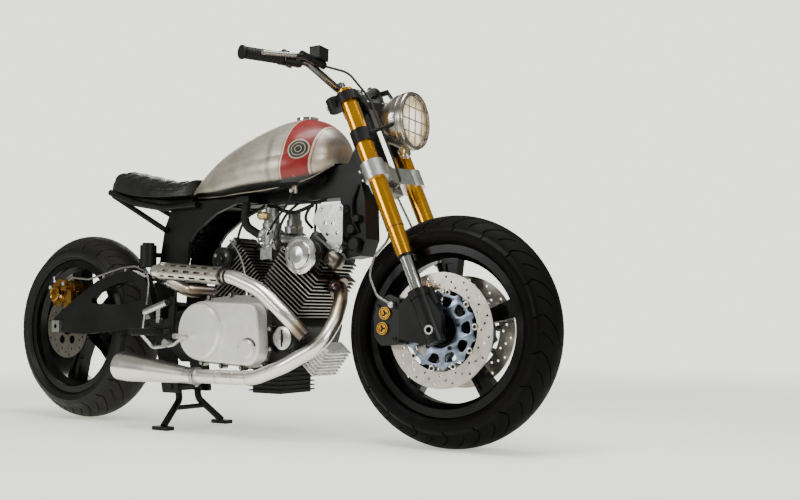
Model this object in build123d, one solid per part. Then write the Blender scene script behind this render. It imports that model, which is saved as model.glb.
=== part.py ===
"""A custom roadster motorcycle with an air-cooled V-twin engine, on its centre stand.

Millimetres. +X is forward, +Y the rider's left, +Z up. The origin lies on the ground,
midway between the two axles.
"""
from math import cos, radians, sin, sqrt
import os

from build123d import *

# Wheels and stance
WHEELBASE = 1521.0
FRONT_TYRE_RADIUS = 318.0
FRONT_TYRE_WIDTH = 150.0
REAR_TYRE_RADIUS = 323.0
REAR_TYRE_WIDTH = 186.0
REAR_TYRE_LIFT = 3.0          # the stand holds the rear tyre this far off the ground
RIM_FLANGE_RADIUS = 232.5     # a 17 inch rim with its flange
FRONT_RIM_WIDTH = 102.0
REAR_RIM_WIDTH = 154.0
REAR_SPOKE_PHASE = -16.0      # turn of the first spoke from upright, about +Y

# Steering
RAKE = 23.5
TRAIL = 100.0
REST_STEER = 4.7              # degrees to the left, as it is parked
FORK_OFFSET = FRONT_TYRE_RADIUS * sin(radians(RAKE)) - TRAIL * cos(radians(RAKE))
LEG_Y = 105.0                 # half the distance between the fork legs
LEG_SETBACK = 4.0             # the legs' centre line lies this far behind the axle
STANCHION_R = 19.0
FORK_TUBE_R = 25.0
FORK_TUBE_BOTTOM = 222.0      # heights along the leg, from the axle
FORK_COLLAR_TOP = 304.0
FORK_COLLAR_R = 24.0
FORK_TOP = 738.0
LOWER_CLAMP = (455.0, 507.0)
UPPER_CLAMP = (702.0, 730.0)
HEAD_TUBE = (513.0, 698.0)
HEAD_TUBE_R = 29.0
STEM_R = 15.0
RUNNING_FIT = 0.05            # radial clearance of a shaft in its bore

AXLE_R = 12.5
AXLE_BORE_R = 8.0
REAR_AXLE_R = 12.5
BAR_R = 11.0

# Brakes
FRONT_DISC_R = 156.0
FRONT_DISC_Y = 70.0
DISC_HALF = 2.5               # half a disc's thickness
DISC_HOLE_R = 3.4
REAR_DISC_R = 110.0
REAR_DISC_Y = 98.0
PAD_GAP = 5.0                 # from a disc's face to the caliper's body

# Engine
CRANK = (150.0, 310.0)        # X and Z of the crankshaft
V_ANGLE = 75.0
BARREL_START = 116.0          # distances along a cylinder's axis, from the crankshaft
HEAD_START = 214.0
FULL_FINS_END = 262.0         # above this the head's fins grow narrower
HEAD_FINS_END = 306.0
HEAD_END = 340.0
CAP_S = 284.0                 # the cam's place along the cylinder, behind a round cap
FIN_HALF_LENGTH = 85.0        # across the cylinder, in the side view
FIN_HALF_WIDTH = 92.0         # across the machine
ENGINE_HALF_WIDTH = 108.0
FIN_PITCH = 12.0
FIN_THICKNESS = 3.6

# Chassis
SWINGARM_PIVOT = (-300.0, 350.0)
SWINGARM_ARM_Y = (113.0, 137.0)
CHAIN_Y = 104.0
CHAIN_WIDTH = 11.0
CHAIN_FRONT_R = 34.0          # inside of the chain's run about each sprocket
CHAIN_REAR_R = 94.0
CHAIN_DEPTH = 15.0
OUTPUT_SHAFT = (-165.0, 345.0)
SHOCK_LOWER = (-384.0, 0.0, 490.0)
SHOCK_UPPER = (-212.0, 0.0, 676.0)
BRACE_R = 13.0
SHOCK_BOLT_R = 10.0
STAND_PIVOT = (-262.0, 132.0)
STAND_FOOT_X = -232.0
TUNNEL_HALF = 42.0            # half the width of the tank's tunnel
PLATE_Y = (62.0, 74.0)        # the frame's pivot plates

PIPE_R = 21.0
PIPE_WALL = 1.5

REAR_AXLE = (-WHEELBASE / 2, REAR_TYRE_RADIUS + REAR_TYRE_LIFT)

# Frames of reference
UP_FORK = Vector(-sin(radians(RAKE)), 0, cos(radians(RAKE)))
FORE_FORK = Vector(cos(radians(RAKE)), 0, sin(radians(RAKE)))
FRONT_AXLE = Vector(WHEELBASE / 2, 0, FRONT_TYRE_RADIUS)
FORK = Plane(origin=FRONT_AXLE, x_dir=FORE_FORK, z_dir=UP_FORK).location
STEERED = FORK * Pos(-FORK_OFFSET, 0, 0) * Rot(0, 0, REST_STEER) * Pos(FORK_OFFSET, 0, 0)
REAR_HUB = Pos(REAR_AXLE[0], 0, REAR_AXLE[1])
NODES = {}


def node(name, place, *pieces):
    """Keep the pieces, put in place, under a node's name."""
    NODES[name] = [place * piece for piece in pieces]


def rod(start, end, radius, bore=0.0):
    """A round bar, or a tube if it has a bore, from one point to another."""
    start, end = Vector(*start), Vector(*end)
    length = (end - start).length
    place = Plane(origin=start, z_dir=end - start).location
    shaft = Cylinder(radius, length, align=(Align.CENTER, Align.CENTER, Align.MIN))
    if bore:
        shaft -= Cylinder(bore, length, align=(Align.CENTER, Align.CENTER, Align.MIN))
    return place * shaft


def pipe(points, bends, radius, bore=0.0):
    """A bent tube along straight runs joined by arcs, one radius for each bend."""
    path = FilletPolyline(*points, radius=bends)
    section = Circle(radius)
    if bore:
        section -= Circle(bore)
    start = Plane(origin=path @ 0, z_dir=path % 0)
    return sweep(start * section, path=path)


def outline(points, corner=0.0):
    """A flat outline, with its corners rounded where a radius is given."""
    face = make_face(Polyline(*points, close=True))
    return fillet(face.vertices(), corner) if corner else face


def side_plate(points, y_low, y_high, corner=0.0):
    """A plate drawn in X and Z, between two values of Y."""
    return extrude(Plane.XZ.offset(-y_high) * outline(points, corner), y_high - y_low)


def disc_between(radius, y_low, y_high, bore=0.0, x=0.0, z=0.0):
    """A disc about an axis along Y."""
    return rod((x, y_low, z), (x, y_high, z), radius, bore)


def turned(points):
    """A solid of revolution about the Y axis, drawn as radius and Y."""
    return revolve(make_face(Polyline(*points, close=True)), Axis.Y, 360)


def mirrored(piece):
    """The same piece on the other side of the machine."""
    return mirror(piece, Plane.XZ)


def tyre(radius, width, rim_width):
    """A tyre with a round crown, bulging walls and beads that sit on the rim."""
    half, bead_y = width / 2, rim_width / 2 - 9.5
    shoulder, wall = (radius - 40, 0.8 * half), (radius - 66, 0.99 * half)
    lip, foot_r = (RIM_FLANGE_RADIUS + 3, rim_width / 2 + 2), RIM_FLANGE_RADIUS - 12
    edges = [
        ThreePointArc(shoulder, (radius, 0), (shoulder[0], -shoulder[1])),
        ThreePointArc((shoulder[0], -shoulder[1]), (wall[0], -wall[1]), (lip[0], -lip[1])),
        Polyline((lip[0], -lip[1]), (lip[0], -bead_y), (foot_r, -bead_y), (foot_r, bead_y),
                 (lip[0], bead_y), lip),
        ThreePointArc(lip, wall, shoulder),
    ]
    return revolve(make_face(edges), Axis.Y, 360)


def rim(width, hub_half, hub_r, spoke_half, bore, phase):
    """A cast wheel: dropped barrel, flanges, hub and five tapered, hollow-sided spokes."""
    half, seat_r = width / 2, RIM_FLANGE_RADIUS - 12.5
    well_r, inner_r = seat_r - 16, seat_r - 24
    barrel = turned([
        (RIM_FLANGE_RADIUS, half), (RIM_FLANGE_RADIUS, half - 6), (seat_r, half - 9),
        (seat_r, half - 24), (well_r, half - 34), (well_r, -half + 34), (seat_r, -half + 24),
        (seat_r, -half + 9), (RIM_FLANGE_RADIUS, -half + 6), (RIM_FLANGE_RADIUS, -half),
        (seat_r - 9, -half), (seat_r - 9, -half + 18), (inner_r, -half + 34),
        (inner_r, half - 34), (seat_r - 9, half - 18), (seat_r - 9, half)])
    hub = disc_between(hub_r, -hub_half, hub_half)
    for side in (-1, 1):
        hub += disc_between(hub_r + 15, *sorted((side * hub_half, side * (hub_half - 8))))
        hub -= disc_between(hub_r - 12, side * hub_half, side * (hub_half - 14), 24)
    wheel = barrel + hub
    spoke = side_plate([(-24, hub_r - 6), (-17, 120), (-26, inner_r + 4), (26, inner_r + 4), (17, 120),
                        (24, hub_r - 6)], -spoke_half, spoke_half)
    pocket = side_plate([(-11, hub_r + 12), (-9, 120), (-14, inner_r - 12), (14, inner_r - 12),
                         (9, 120), (11, hub_r + 12)], 0, 7, 4)
    spoke -= Pos(0, spoke_half - 7, 0) * pocket
    spoke -= Pos(0, -spoke_half, 0) * pocket
    for k in range(5):
        wheel += Rot(0, phase + 72 * k, 0) * spoke
    return wheel - disc_between(bore, -hub_half - 1, hub_half + 1)


def on_cylinder(side):
    """The frame of a cylinder: local Z outward from the crank, local X away from the other cylinder."""
    lean = radians(V_ANGLE / 2) * side
    return Plane(origin=(CRANK[0], 0, CRANK[1]), x_dir=(side * cos(lean), 0, -side * sin(lean)),
                 z_dir=(sin(lean), 0, cos(lean))).location


def finned(start, end, core, fin):
    """A finned block along local Z; core and fin are half sizes across X and Y."""
    block = Pos(0, 0, (start + end) / 2) * Box(2 * core[0], 2 * core[1], end - start)
    count = int((end - start - FIN_THICKNESS) / FIN_PITCH) + 1
    first = start + (end - start - (count - 1) * FIN_PITCH - FIN_THICKNESS) / 2
    for k in range(count):
        sheet = Box(2 * fin[0], 2 * fin[1], FIN_THICKNESS)
        block += Pos(0, 0, first + k * FIN_PITCH + FIN_THICKNESS / 2) * sheet
    return block


PORT_S = {1: 245.0, -1: 262.0}      # where each exhaust port leaves its head, along the cylinder
PORT_REACH = 95.0
INTAKE_S = 262.0
CYLINDER_SHIFT = -12.0        # offset along each cylinder's own Y, so the two are staggered


def port_end(side, further=0.0):
    """The outer face of a cylinder's exhaust port, or a point further out along it."""
    return (on_cylinder(side) * Pos(PORT_REACH + further, CYLINDER_SHIFT, PORT_S[side])).position


def cylinder_pieces(side):
    """A barrel, its head with ports and rocker cover, and the round cap over the cam."""
    place = on_cylinder(side) * Pos(0, CYLINDER_SHIFT, 0)
    fin = (FIN_HALF_LENGTH, FIN_HALF_WIDTH)
    barrel = finned(BARREL_START, HEAD_START, (60, 64), fin)
    head = finned(HEAD_START, FULL_FINS_END, (66, 70), fin)
    head += finned(FULL_FINS_END, HEAD_FINS_END, (58, 66), (68, 76))
    cover = Pos(0, 0, (HEAD_FINS_END + HEAD_END) / 2) * Box(104, 108, HEAD_END - HEAD_FINS_END)
    cover = fillet(cover.edges().filter_by(Axis.Z), 16)
    cover = chamfer(cover.faces().sort_by(Axis.Z)[-1].edges(), 5)
    head += cover
    head += Pos(PORT_REACH - 20, 0, PORT_S[side]) * Rot(0, 90, 0) * Cylinder(27, 40)
    head += Pos(20 - PORT_REACH, 0, INTAKE_S) * Rot(0, 90, 0) * Cylinder(25, 40)
    head += Pos(0, -83, CAP_S) * Rot(90, 0, 0) * Cylinder(50, 46)
    head += Pos(0, 83, CAP_S) * Rot(90, 0, 0) * Cylinder(40, 40)
    cap = turned([(0, 0), (56, 0), (56, -6), (45, -10), (40, -10), (38, -16), (24, -22), (0, -24)])
    return place * barrel, place * head, place * Pos(0, -106.3, CAP_S) * cap


def engine():
    front_barrel, front_head, front_cap = cylinder_pieces(1)
    rear_barrel, rear_head, rear_cap = cylinder_pieces(-1)
    node("front_cylinder", Pos(), front_barrel)
    node("front_cylinder_head", Pos(), front_head)
    node("rear_cylinder", Pos(), rear_barrel)
    node("rear_cylinder_head", Pos(), rear_head)
    node("cylinder_head_caps", Pos(), front_cap, rear_cap)
    case = side_plate([(-238, 322), (-228, 368), (-150, 384), (-60, 400), (40, 404), (150, 404),
                       (256, 404), (300, 330), (270, 232), (180, 216), (-180, 216), (-232, 262)],
                      -ENGINE_HALF_WIDTH, ENGINE_HALF_WIDTH, 14)
    for side in (-1, 1):
        case -= on_cylinder(side) * Pos(0, 0, BARREL_START + 100) * Box(260, 400, 200)
    case -= Pos(OUTPUT_SHAFT[0] - 60, 150, 330) * Box(240, 300 - 2 * 92, 400)
    case += rod((OUTPUT_SHAFT[0], 92, OUTPUT_SHAFT[1]), (OUTPUT_SHAFT[0], CHAIN_Y + 4, OUTPUT_SHAFT[1]),
                CHAIN_FRONT_R - 0.3)
    case += rod((258, -ENGINE_HALF_WIDTH, 295), (258, -ENGINE_HALF_WIDTH - 14, 295), 38)
    flange = cover_slab([(-24, 314, 100), (60, 360, 62), (146, 366, 56), (150, 262, 56)], 18)
    case += Pos(0, -ENGINE_HALF_WIDTH, 0) * Plane.XZ.location * flange
    for x, z in FLANGE_BOLTS:
        case += rod((x, -ENGINE_HALF_WIDTH, z), (x, -ENGINE_HALF_WIDTH - 24, z), 9)
    node("crankcase", Pos(), case)


# X and Z of the bolts around the right cover
FLANGE_BOLTS = [(-33, 417), (58, 423), (146, 423), (214, 384), (218, 322), (221, 262), (190, 212), (104, 205),
                (20, 209), (-62, 216), (-124, 288), (-112, 370)]


def cover_slab(rounds, thickness, inset=0.0):
    """A slab whose outline wraps rounds given by X, Z and radius."""
    circles = [Pos(x, z) * Circle(radius - inset) for x, z, radius in rounds]
    return extrude(make_hull([edge for circle in circles for edge in circle.edges()]), thickness)


def engine_covers():
    """The side covers: rounds about the clutch or crankshaft, drawn together to one smooth outline."""
    rounds_right = [(-24, 314, 91), (160, 357, 41), (160, 262, 48)]
    rounds_left = [(150, 310, 84), (30, 300, 70), (20, 330, 60)]
    face = Pos(0, -ENGINE_HALF_WIDTH, 0) * Plane.XZ.location
    slab = Pos(0, 0, 18.3) * cover_slab(rounds_right, 46)
    slab = fillet(slab.faces().sort_by(Axis.Z)[-1].edges(), 7)
    right = face * slab
    clutch = turned([(0, -164), (86, -164), (86, -184), (80, -190), (0, -190)])
    right += Pos(-24, 0, 314) * clutch
    right += Pos(168, 0, 262) * turned([(0, -168), (29, -168), (29, -182), (24, -187), (0, -187)])
    left_slab = cover_slab(rounds_left, 20, -6) + Pos(0, 0, 20) * cover_slab(rounds_left, 34)
    alternator = turned([(0, -158), (64, -158), (64, -168), (58, -174), (0, -174)])
    left = mirrored(face * left_slab + Pos(CRANK[0], 0, CRANK[1]) * alternator)
    node("right_engine_cover", Pos(), right)
    node("left_engine_cover", Pos(), left)


def lower_engine():
    """The finned sump and, ahead of the crankcase, the finned oil filter housing on its neck."""
    sump = Pos(150, 0, 171.4) * Box(112, 140, 88.6)
    for k in range(6):
        sump += Pos(150, 0, 136 + 13 * k) * Box(128, 160, 4)
    node("oil_sump", Pos(), sump)
    cooler = Box(96, 96, 34)
    for k in range(8):
        cooler += Pos(-42 + 12 * k, 0, 0) * Box(4, 112, 50)
    neck = rod((276, 0, 250), (322, 0, 236), 24)
    node("oil_filter_housing", Pos(), Pos(326, 0, 232) * Rot(0, -50, 0) * cooler + neck)


def intake():
    """A carburettor for each cylinder, between them, on a short manifold that meets its intake port."""
    carbs, hoses = [], []
    for side in (-1, 1):
        head_side = -side
        port = (on_cylinder(head_side) * Pos(-PORT_REACH - 0.3, CYLINDER_SHIFT, INTAKE_S)).position
        elbow = (on_cylinder(head_side) * Pos(-PORT_REACH - 24, CYLINDER_SHIFT, INTAKE_S)).position
        x = CRANK[0] + 8 * head_side
        seat = (x, side * 46, 596)
        carb = rod(tuple(port), tuple(elbow), 20) + rod(tuple(elbow), seat, 20) + Pos(*elbow) * Sphere(20)
        carb += rod((x, side * 32, 596), (x, side * 84, 596), 27)
        carb += rod((x, side * 60, 560), (x, side * 60, 640), 29)
        carb += Pos(x, side * 62, 548) * Box(46, 50, 34)
        carb += rod((x, side * 62, 640), (x, side * 62, 662), 24)
        carbs.append(carb + rod((x, side * 62, 662), (x, side * 62, 686), 20))
        duct = Pos(60, side * 62, 718) * Box(52, 55.4, 20)
        route = [(60, side * 68, 709), (46, side * 68, 644), (x - 20, side * 68, 594)]
        hose = duct + pipe(route, [44], 13)
        hose -= rod((x, side * 30, 596), (x, side * 90, 596), 27.3)
        hoses.append(hose - rod((x, side * 60, 550), (x, side * 60, 650), 29.3))
    node("carburettors", Pos(), *carbs)
    node("intake_hoses", Pos(), *hoses)


def chassis():
    """The backbone with its steering head, front arm, pivot plates and stand brackets."""
    head = Pos(-FORK_OFFSET, 0, (HEAD_TUBE[0] + HEAD_TUBE[1]) / 2) * Cylinder(
        HEAD_TUBE_R, HEAD_TUBE[1] - HEAD_TUBE[0])
    bore = Pos(-FORK_OFFSET, 0, 600) * Cylinder(STEM_R + RUNNING_FIT, 400)
    neck = side_plate([(470, 880), (497, 790), (476, 760), (477, 742), (490, 696), (494, 580), (474, 532),
                       (424, 526), (404, 560), (400, 706), (-150, 706), (-168, 722), (-150, 740), (0, 778),
                       (300, 792), (430, 806)],
                      -34, 34)
    frame = FORK * head + neck
    for side in (-1, 1):
        low, high = sorted((side * PLATE_Y[0], side * PLATE_Y[1]))
        frame += side_plate([(30, 728), (19, 710), (-72, 683), (-160, 630), (-187, 600), (-192, 534),
                             (-215, 500), (-262, 486), (-262, 430), (-244, 400), (-244, 240), (-225, 112),
                             (-300, 112), (-340, 300), (-340, 420), (-325, 530), (-301, 650), (-262, 728)],
                            low, high, 6)
    frame += Pos(-100, 0, 715) * Box(170, 2 * PLATE_Y[0], 26)
    frame += rod((-262, -PLATE_Y[0], 250), (-262, PLATE_Y[0], 250), 14)
    frame += rod((SHOCK_UPPER[0], -PLATE_Y[0], SHOCK_UPPER[2]), (SHOCK_UPPER[0], PLATE_Y[0], SHOCK_UPPER[2]),
                 SHOCK_BOLT_R)
    frame += disc_between(16, -TUNNEL_HALF + 0.3, TUNNEL_HALF - 0.3, 0, 340, 768)
    for side in (-1, 1):
        frame += rod((-250, side * 68, 292), (-236.5, side * 68, 292), 12)
    frame -= FORK * bore
    frame -= disc_between(14 + RUNNING_FIT, -200, 200, 0, *SWINGARM_PIVOT)
    frame -= disc_between(9 + RUNNING_FIT, -200, 200, 0, *STAND_PIVOT)
    node("main_frame", Pos(), frame)
    bracket = None
    for side in (-1, 1):
        low, high = sorted((side * 56, side * 62))
        plate = side_plate([(316, 641), (345, 685), (414, 689), (431, 679), (429, 572), (411, 540)],
                           low, high, 5)
        for x, z in ((366, 630), (394, 628), (374, 598), (410, 600)):
            plate -= disc_between(6, low - 1, high + 1, 0, x, z)
        for x, z in ((420, 670), (414, 562)):
            plate += rod((x, side * 34.2, z), (x, side * 56, z), 9)
        plate += on_cylinder(1) * Pos(35, side * 46.5, HEAD_END + 19) * Box(50, 21, 37.4)
        bracket = plate if bracket is None else bracket + plate
    node("engine_bracket", Pos(), bracket)


RAIL_R = 11.0
RAIL_BENDS = [120, 120]
SEAT_BARS = [(-560, 781), (-420, 741)]      # X and Z of the bars between the rails
BAR_UNDER_SEAT_R = 9.0


def rail_route(side):
    """A seat rail from the frame's plate to the tail."""
    y = side * (PLATE_Y[1] + RAIL_R + 0.3)
    return [(-140, y, 716), (-300, y, 716), (-420, side * 96, 738), (-590, side * 62, 790)]


def subframe():
    """Two seat rails that rise to the tail, with a strut under each and cross-bars between."""
    rails = None
    for side in (-1, 1):
        rail = pipe(rail_route(side), RAIL_BENDS, RAIL_R)
        rail += rod((-282, side * (PLATE_Y[1] + 10.6), 640), (-566, side * 68, 776), 9)
        rails = rail if rails is None else rails + rail
    for x, z in SEAT_BARS:
        half = 68 if x < -500 else 94
        rails += rod((x, -half, z), (x, half, z), BAR_UNDER_SEAT_R)
    node("rear_subframe", Pos(), rails)


def swingarm():
    """Two arms with arched braces, a pivot tube and a cross-member."""
    x_pivot, z_pivot = SWINGARM_PIVOT
    low, high = SWINGARM_ARM_Y
    x_axle, z_axle = REAR_AXLE
    arm = side_plate([(x_axle - 30, z_axle - 20), (x_axle - 30, z_axle + 28), (-684, 416), (-559, 480),
                      (-450, 505), (-383, 510), (-325, 486), (x_pivot + 2, 440),
                      (x_pivot + 26, z_pivot + 20), (x_pivot + 26, z_pivot - 24),
                      (-420, 314), (-620, 300)], low, high, 10)
    window = side_plate([(-604, 404), (-560, 440), (-450, 470), (-385, 474), (-345, 448), (-335, 412),
                         (-440, 398)], low - 1, high + 1, 10)
    arm -= window
    arms = arm + mirrored(arm)
    arms += rod((x_pivot, -low, z_pivot), (x_pivot, -74, z_pivot), 24)
    arms += rod((x_pivot, low, z_pivot), (x_pivot, 74, z_pivot), 24)
    arms += Pos(-385, 0, 338) * Box(50, 2 * low, 64)
    arms += rod((SHOCK_LOWER[0], -low, SHOCK_LOWER[2]), (SHOCK_LOWER[0], low, SHOCK_LOWER[2]), BRACE_R)
    for side in (-1, 1):
        arms -= disc_between(REAR_AXLE_R + RUNNING_FIT, side * (low - 1), side * (high + 1), 0, *REAR_AXLE)
    arms -= disc_between(14 + RUNNING_FIT, -200, 200, 0, *SWINGARM_PIVOT)
    pivot = rod((x_pivot, -high - 6, z_pivot), (x_pivot, high + 6, z_pivot), 14)
    node("swingarm", Pos(), arms)
    node("swingarm_pivot", Pos(), pivot)
    axle = rod((x_axle, -high - 14, z_axle), (x_axle, high + 14, z_axle), REAR_AXLE_R, AXLE_BORE_R)
    for side in (-1, 1):
        block = Pos(x_axle, side * (high + 7), z_axle) * Box(40, 14, 40)
        block -= disc_between(REAR_AXLE_R, -200, 200, 0, *REAR_AXLE)
        axle += block
    node("rear_axle", Pos(), axle)
    lower, upper = Vector(*SHOCK_LOWER), Vector(*SHOCK_UPPER)
    along = (upper - lower).normalized()
    shock = rod(tuple(lower + along * 18), tuple(lower + along * 90), 24)
    shock += rod(tuple(lower + along * 90), tuple(upper - along * 16), 31)
    for eye, shaft in ((lower, BRACE_R), (upper, SHOCK_BOLT_R)):
        shock += rod(tuple(eye - Vector(0, 17, 0)), tuple(eye + Vector(0, 17, 0)), shaft + 9)
        shock -= rod(tuple(eye - Vector(0, 40, 0)), tuple(eye + Vector(0, 40, 0)), shaft + 0.3)
    canister = rod((-338, -110, 520), (-338, -110, 592), 27) + rod((-338, -110, 592), (-338, -110, 600), 20)
    canister += rod((-312, -PLATE_Y[1] - 0.3, 560), (-312, -96, 560), 8)
    node("rear_shock", Pos(), shock, canister)


def drilled_disc(outer, inner, count, radii, y):
    """A brake disc about the Y axis, with rows of holes that step outward around it."""
    sheet = Circle(outer) - Circle(inner)
    holes = [Rot(0, 0, 360 / count * k) * Pos(radii[k % len(radii)], 0) * Circle(DISC_HOLE_R)
             for k in range(count)]
    low = Pos(0, y + DISC_HALF, 0) * Plane.XZ.location
    return low * extrude(sheet - holes, 2 * DISC_HALF)


def rear_wheel():
    node("rear_tyre", REAR_HUB, tyre(REAR_TYRE_RADIUS, REAR_TYRE_WIDTH, REAR_RIM_WIDTH))
    node("rear_rim", REAR_HUB,
         rim(REAR_RIM_WIDTH, 88, 46, 24, REAR_AXLE_R + RUNNING_FIT, REAR_SPOKE_PHASE))
    y = -REAR_DISC_Y
    disc = drilled_disc(REAR_DISC_R, 72, 30, (82, 91, 100), y)
    carrier = disc_between(72, y - DISC_HALF, y + DISC_HALF, 30)
    for k in range(6):
        carrier -= Rot(0, 60 * k, 0) * disc_between(14, y - 4, y + 4, 0, 54)
    hub = disc_between(36, y + DISC_HALF, -88, 30)
    node("rear_disc", REAR_HUB, disc + carrier + hub)
    sprocket = disc_between(CHAIN_REAR_R - 6, CHAIN_Y - 3, CHAIN_Y + 3, 30)
    for k in range(6):
        sprocket -= Rot(0, 60 * k, 0) * disc_between(15, CHAIN_Y - 4, CHAIN_Y + 4, 0, 60)
    sprocket += disc_between(38, 88, CHAIN_Y - 3, 30)
    node("rear_sprocket", REAR_HUB, sprocket)


# The rear brake's line, from its caliper over the arm to the master cylinder
REAR_LINE = [(-727, -124, 486), (-700, -128, 494), (-616, -128, 486), (-541, -125, 502), (-450, -125, 520),
             (-384, -125, 524), (-322, -128, 504), (-288, -150, 462), (-262, -176, 420), (-244, -196, 398)]
REAR_LINE_BENDS = [20, 40, 60, 60, 60, 60, 60, 40]
LINE_R = 3.5


def rear_brake():
    """The rear caliper astride its disc, on a lug of the right arm, and its line along the arm."""
    y_in, y_out = -REAR_DISC_Y + 18, -REAR_DISC_Y - 20
    body = side_plate([(-836, 420), (-824, 470), (-792, 492), (-738, 484), (-704, 470), (-700, 446),
                       (-738, 432), (-770, 406), (-802, 394)], y_out, y_in, 9)
    body += rod((-786, y_out, 440), (-786, y_out - 10, 440), 24)
    body += side_plate([(-741, 383.2), (-701, 406.5), (-704, 452), (-738, 452)], -133, -113, 3)
    gap = PAD_GAP + DISC_HALF
    body -= disc_between(REAR_DISC_R + 6, -REAR_DISC_Y - gap, -REAR_DISC_Y + gap, 0, *REAR_AXLE)
    node("rear_caliper", Pos(), body)
    line = pipe(REAR_LINE, REAR_LINE_BENDS, LINE_R)
    for x, low, high in ((-541, 486, 499), (-430, 507.5, 518)):
        line += rod((x, -125, low), (x, -125, high), 5)
    node("rear_brake_line", Pos(), line)


def chain():
    """The closed run of the chain about the two sprockets, as one even band."""
    def loop(extra):
        back = Pos(*REAR_AXLE) * Circle(CHAIN_REAR_R + extra)
        front = Pos(*OUTPUT_SHAFT) * Circle(CHAIN_FRONT_R + extra)
        return make_hull([*back.edges(), *front.edges()])
    band = loop(CHAIN_DEPTH) - loop(0)
    node("drive_chain", Pos(), Pos(0, CHAIN_Y + CHAIN_WIDTH / 2, 0) * Plane.XZ.location
         * extrude(band, CHAIN_WIDTH))


FRONT_PIPE = [(405, -38, 400), (414, -74, 346), (408, -128, 278), (300, -164, 216), (190, -171, 178),
              (70, -171, 178), (-62, -170, 178)]
FRONT_BENDS = [30, 40, 60, 90, 110, 180, 400]
REAR_PIPE = [(-130, 0, 436), (-212, -48, 442), (-256, -130, 486), (-206, -196, 502), (130, -200, 474),
             (238, -197, 434), (320, -184, 362), (372, -158, 302)]
REAR_BENDS = [30, 34, 60, 44, 44, 160, 150, 120]
SHIELD_SPAN = (0.09, 0.90)          # share of the rear pipe's straight run that the heat shield covers
SHIELD_R = 27.0
MUFFLER_END = (-397, -160, 199)


def from_port(side, points):
    """A pipe's route, from the face of its exhaust port."""
    return [tuple(port_end(side)), tuple(port_end(side, 16)), *points]


def heat_shield():
    """A half sleeve with rows of slots around the outside of the rear pipe, on a band at each end."""
    run_start, run_end = Vector(*REAR_PIPE[3]), Vector(*REAR_PIPE[4])
    start = run_start + (run_end - run_start) * SHIELD_SPAN[0]
    end = run_start + (run_end - run_start) * SHIELD_SPAN[1]
    length = (end - start).length
    place = Plane(origin=(start + end) / 2, x_dir=(0, -1, 0), z_dir=end - start).location
    sleeve = Cylinder(SHIELD_R, length) - Cylinder(SHIELD_R - 1.6, length + 2)
    sleeve &= Pos(SHIELD_R - 6, 0, 0) * Box(2 * SHIELD_R, 2 * SHIELD_R + 2, length)
    slot = Pos(SHIELD_R, 0, 0) * Box(12, 4.4, 13)
    for angle in (-62, -31, 0, 31, 62):
        for k in range(13):
            sleeve -= Rot(0, 0, angle) * Pos(0, 0, (k - 6) * 20) * slot
    for shift in (-length / 2 + 5, length / 2 - 5):
        sleeve += Pos(0, 0, shift) * (Cylinder(SHIELD_R + 0.8, 10) - Cylinder(PIPE_R + 0.3, 10))
    return place * sleeve


def exhaust():
    front = pipe(from_port(1, FRONT_PIPE), FRONT_BENDS, PIPE_R, PIPE_R - PIPE_WALL)
    rear = pipe(from_port(-1, REAR_PIPE), REAR_BENDS, PIPE_R, PIPE_R - PIPE_WALL)
    rear -= pipe(from_port(1, FRONT_PIPE), FRONT_BENDS, PIPE_R)
    front += rod(tuple(port_end(1)), tuple(port_end(1, 7)), 34, PIPE_R - PIPE_WALL)
    rear += rod(tuple(port_end(-1)), tuple(port_end(-1, 7)), 34, PIPE_R - PIPE_WALL)
    node("front_exhaust_pipe", Pos(), front)
    node("rear_exhaust_pipe", Pos(), rear)
    node("heat_shield", Pos(), heat_shield())
    start, end = Vector(*FRONT_PIPE[-1]), Vector(*MUFFLER_END)
    place = Plane(origin=start, z_dir=end - start).location
    length = (end - start).length
    profile = make_face(Polyline(
        (PIPE_R + 0.8, -10), (PIPE_R + 4, -10), (PIPE_R + 4, 24), (46, length - 40), (46, length),
        (43, length), (43, length - 40), (PIPE_R + 0.8, 24), close=True))
    node("muffler", Pos(), place * revolve(Plane.XZ * profile, Axis.Z, 360))


# X, half width, bottom and top of the tank
TANK_SECTIONS = [
    (-176, 66, 742, 782), (-60, 112, 733, 868), (60, 136, 733, 920), (200, 143, 737, 956),
    (318, 118, 757, 944), (366, 80, 786, 907), (391, 34, 810, 868)]
# X and half width of the seat in plan, and its side view
SEAT_PLAN = [(-600, 44), (-584, 58), (-540, 78), (-440, 98), (-320, 109), (-240, 105), (-180, 92)]
SEAT_SIDE = [(-600, 812), (-592, 827), (-556, 850), (-528, 852), (-350, 814), (-210, 784), (-180, 792),
             (-180, 742), (-300, 744), (-420, 758), (-540, 784), (-596, 804)]


def tank():
    """The fuel tank, lofted over the backbone, with its filler cap and a tap under its right side."""
    faces = []
    for x, half, bottom, top in TANK_SECTIONS:
        height = top - bottom
        side_mid = (half, bottom + 0.42 * height)
        low, low_mid = (half * 0.8, bottom), (half * 0.95, bottom + 0.09 * height)
        shoulder = (half * 0.67, bottom + 0.83 * height)
        face = make_face([
            Line((-low[0], bottom), low),
            ThreePointArc(low, low_mid, side_mid),
            ThreePointArc(side_mid, shoulder, (0, top)),
            ThreePointArc((0, top), (-shoulder[0], shoulder[1]), (-half, side_mid[1])),
            ThreePointArc((-half, side_mid[1]), (-low_mid[0], low_mid[1]), (-low[0], bottom)),
        ])
        faces.append(Plane(origin=(x, 0, 0), x_dir=(0, 1, 0), z_dir=(1, 0, 0)) * face)
    body = loft(faces)
    body -= Pos(110, 0, 760) * Box(640, 2 * TUNNEL_HALF, 96)
    cap = rod((245, 0, 934), (245, 0, 964), 34)
    body -= cap
    body += rod((269, -86, 722), (269, -86, 762), 9)
    body += rod((269, -86, 729), (269, -104, 729), 6)
    node("fuel_tank", Pos(), body)
    node("fuel_cap", Pos(), cap)


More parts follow.
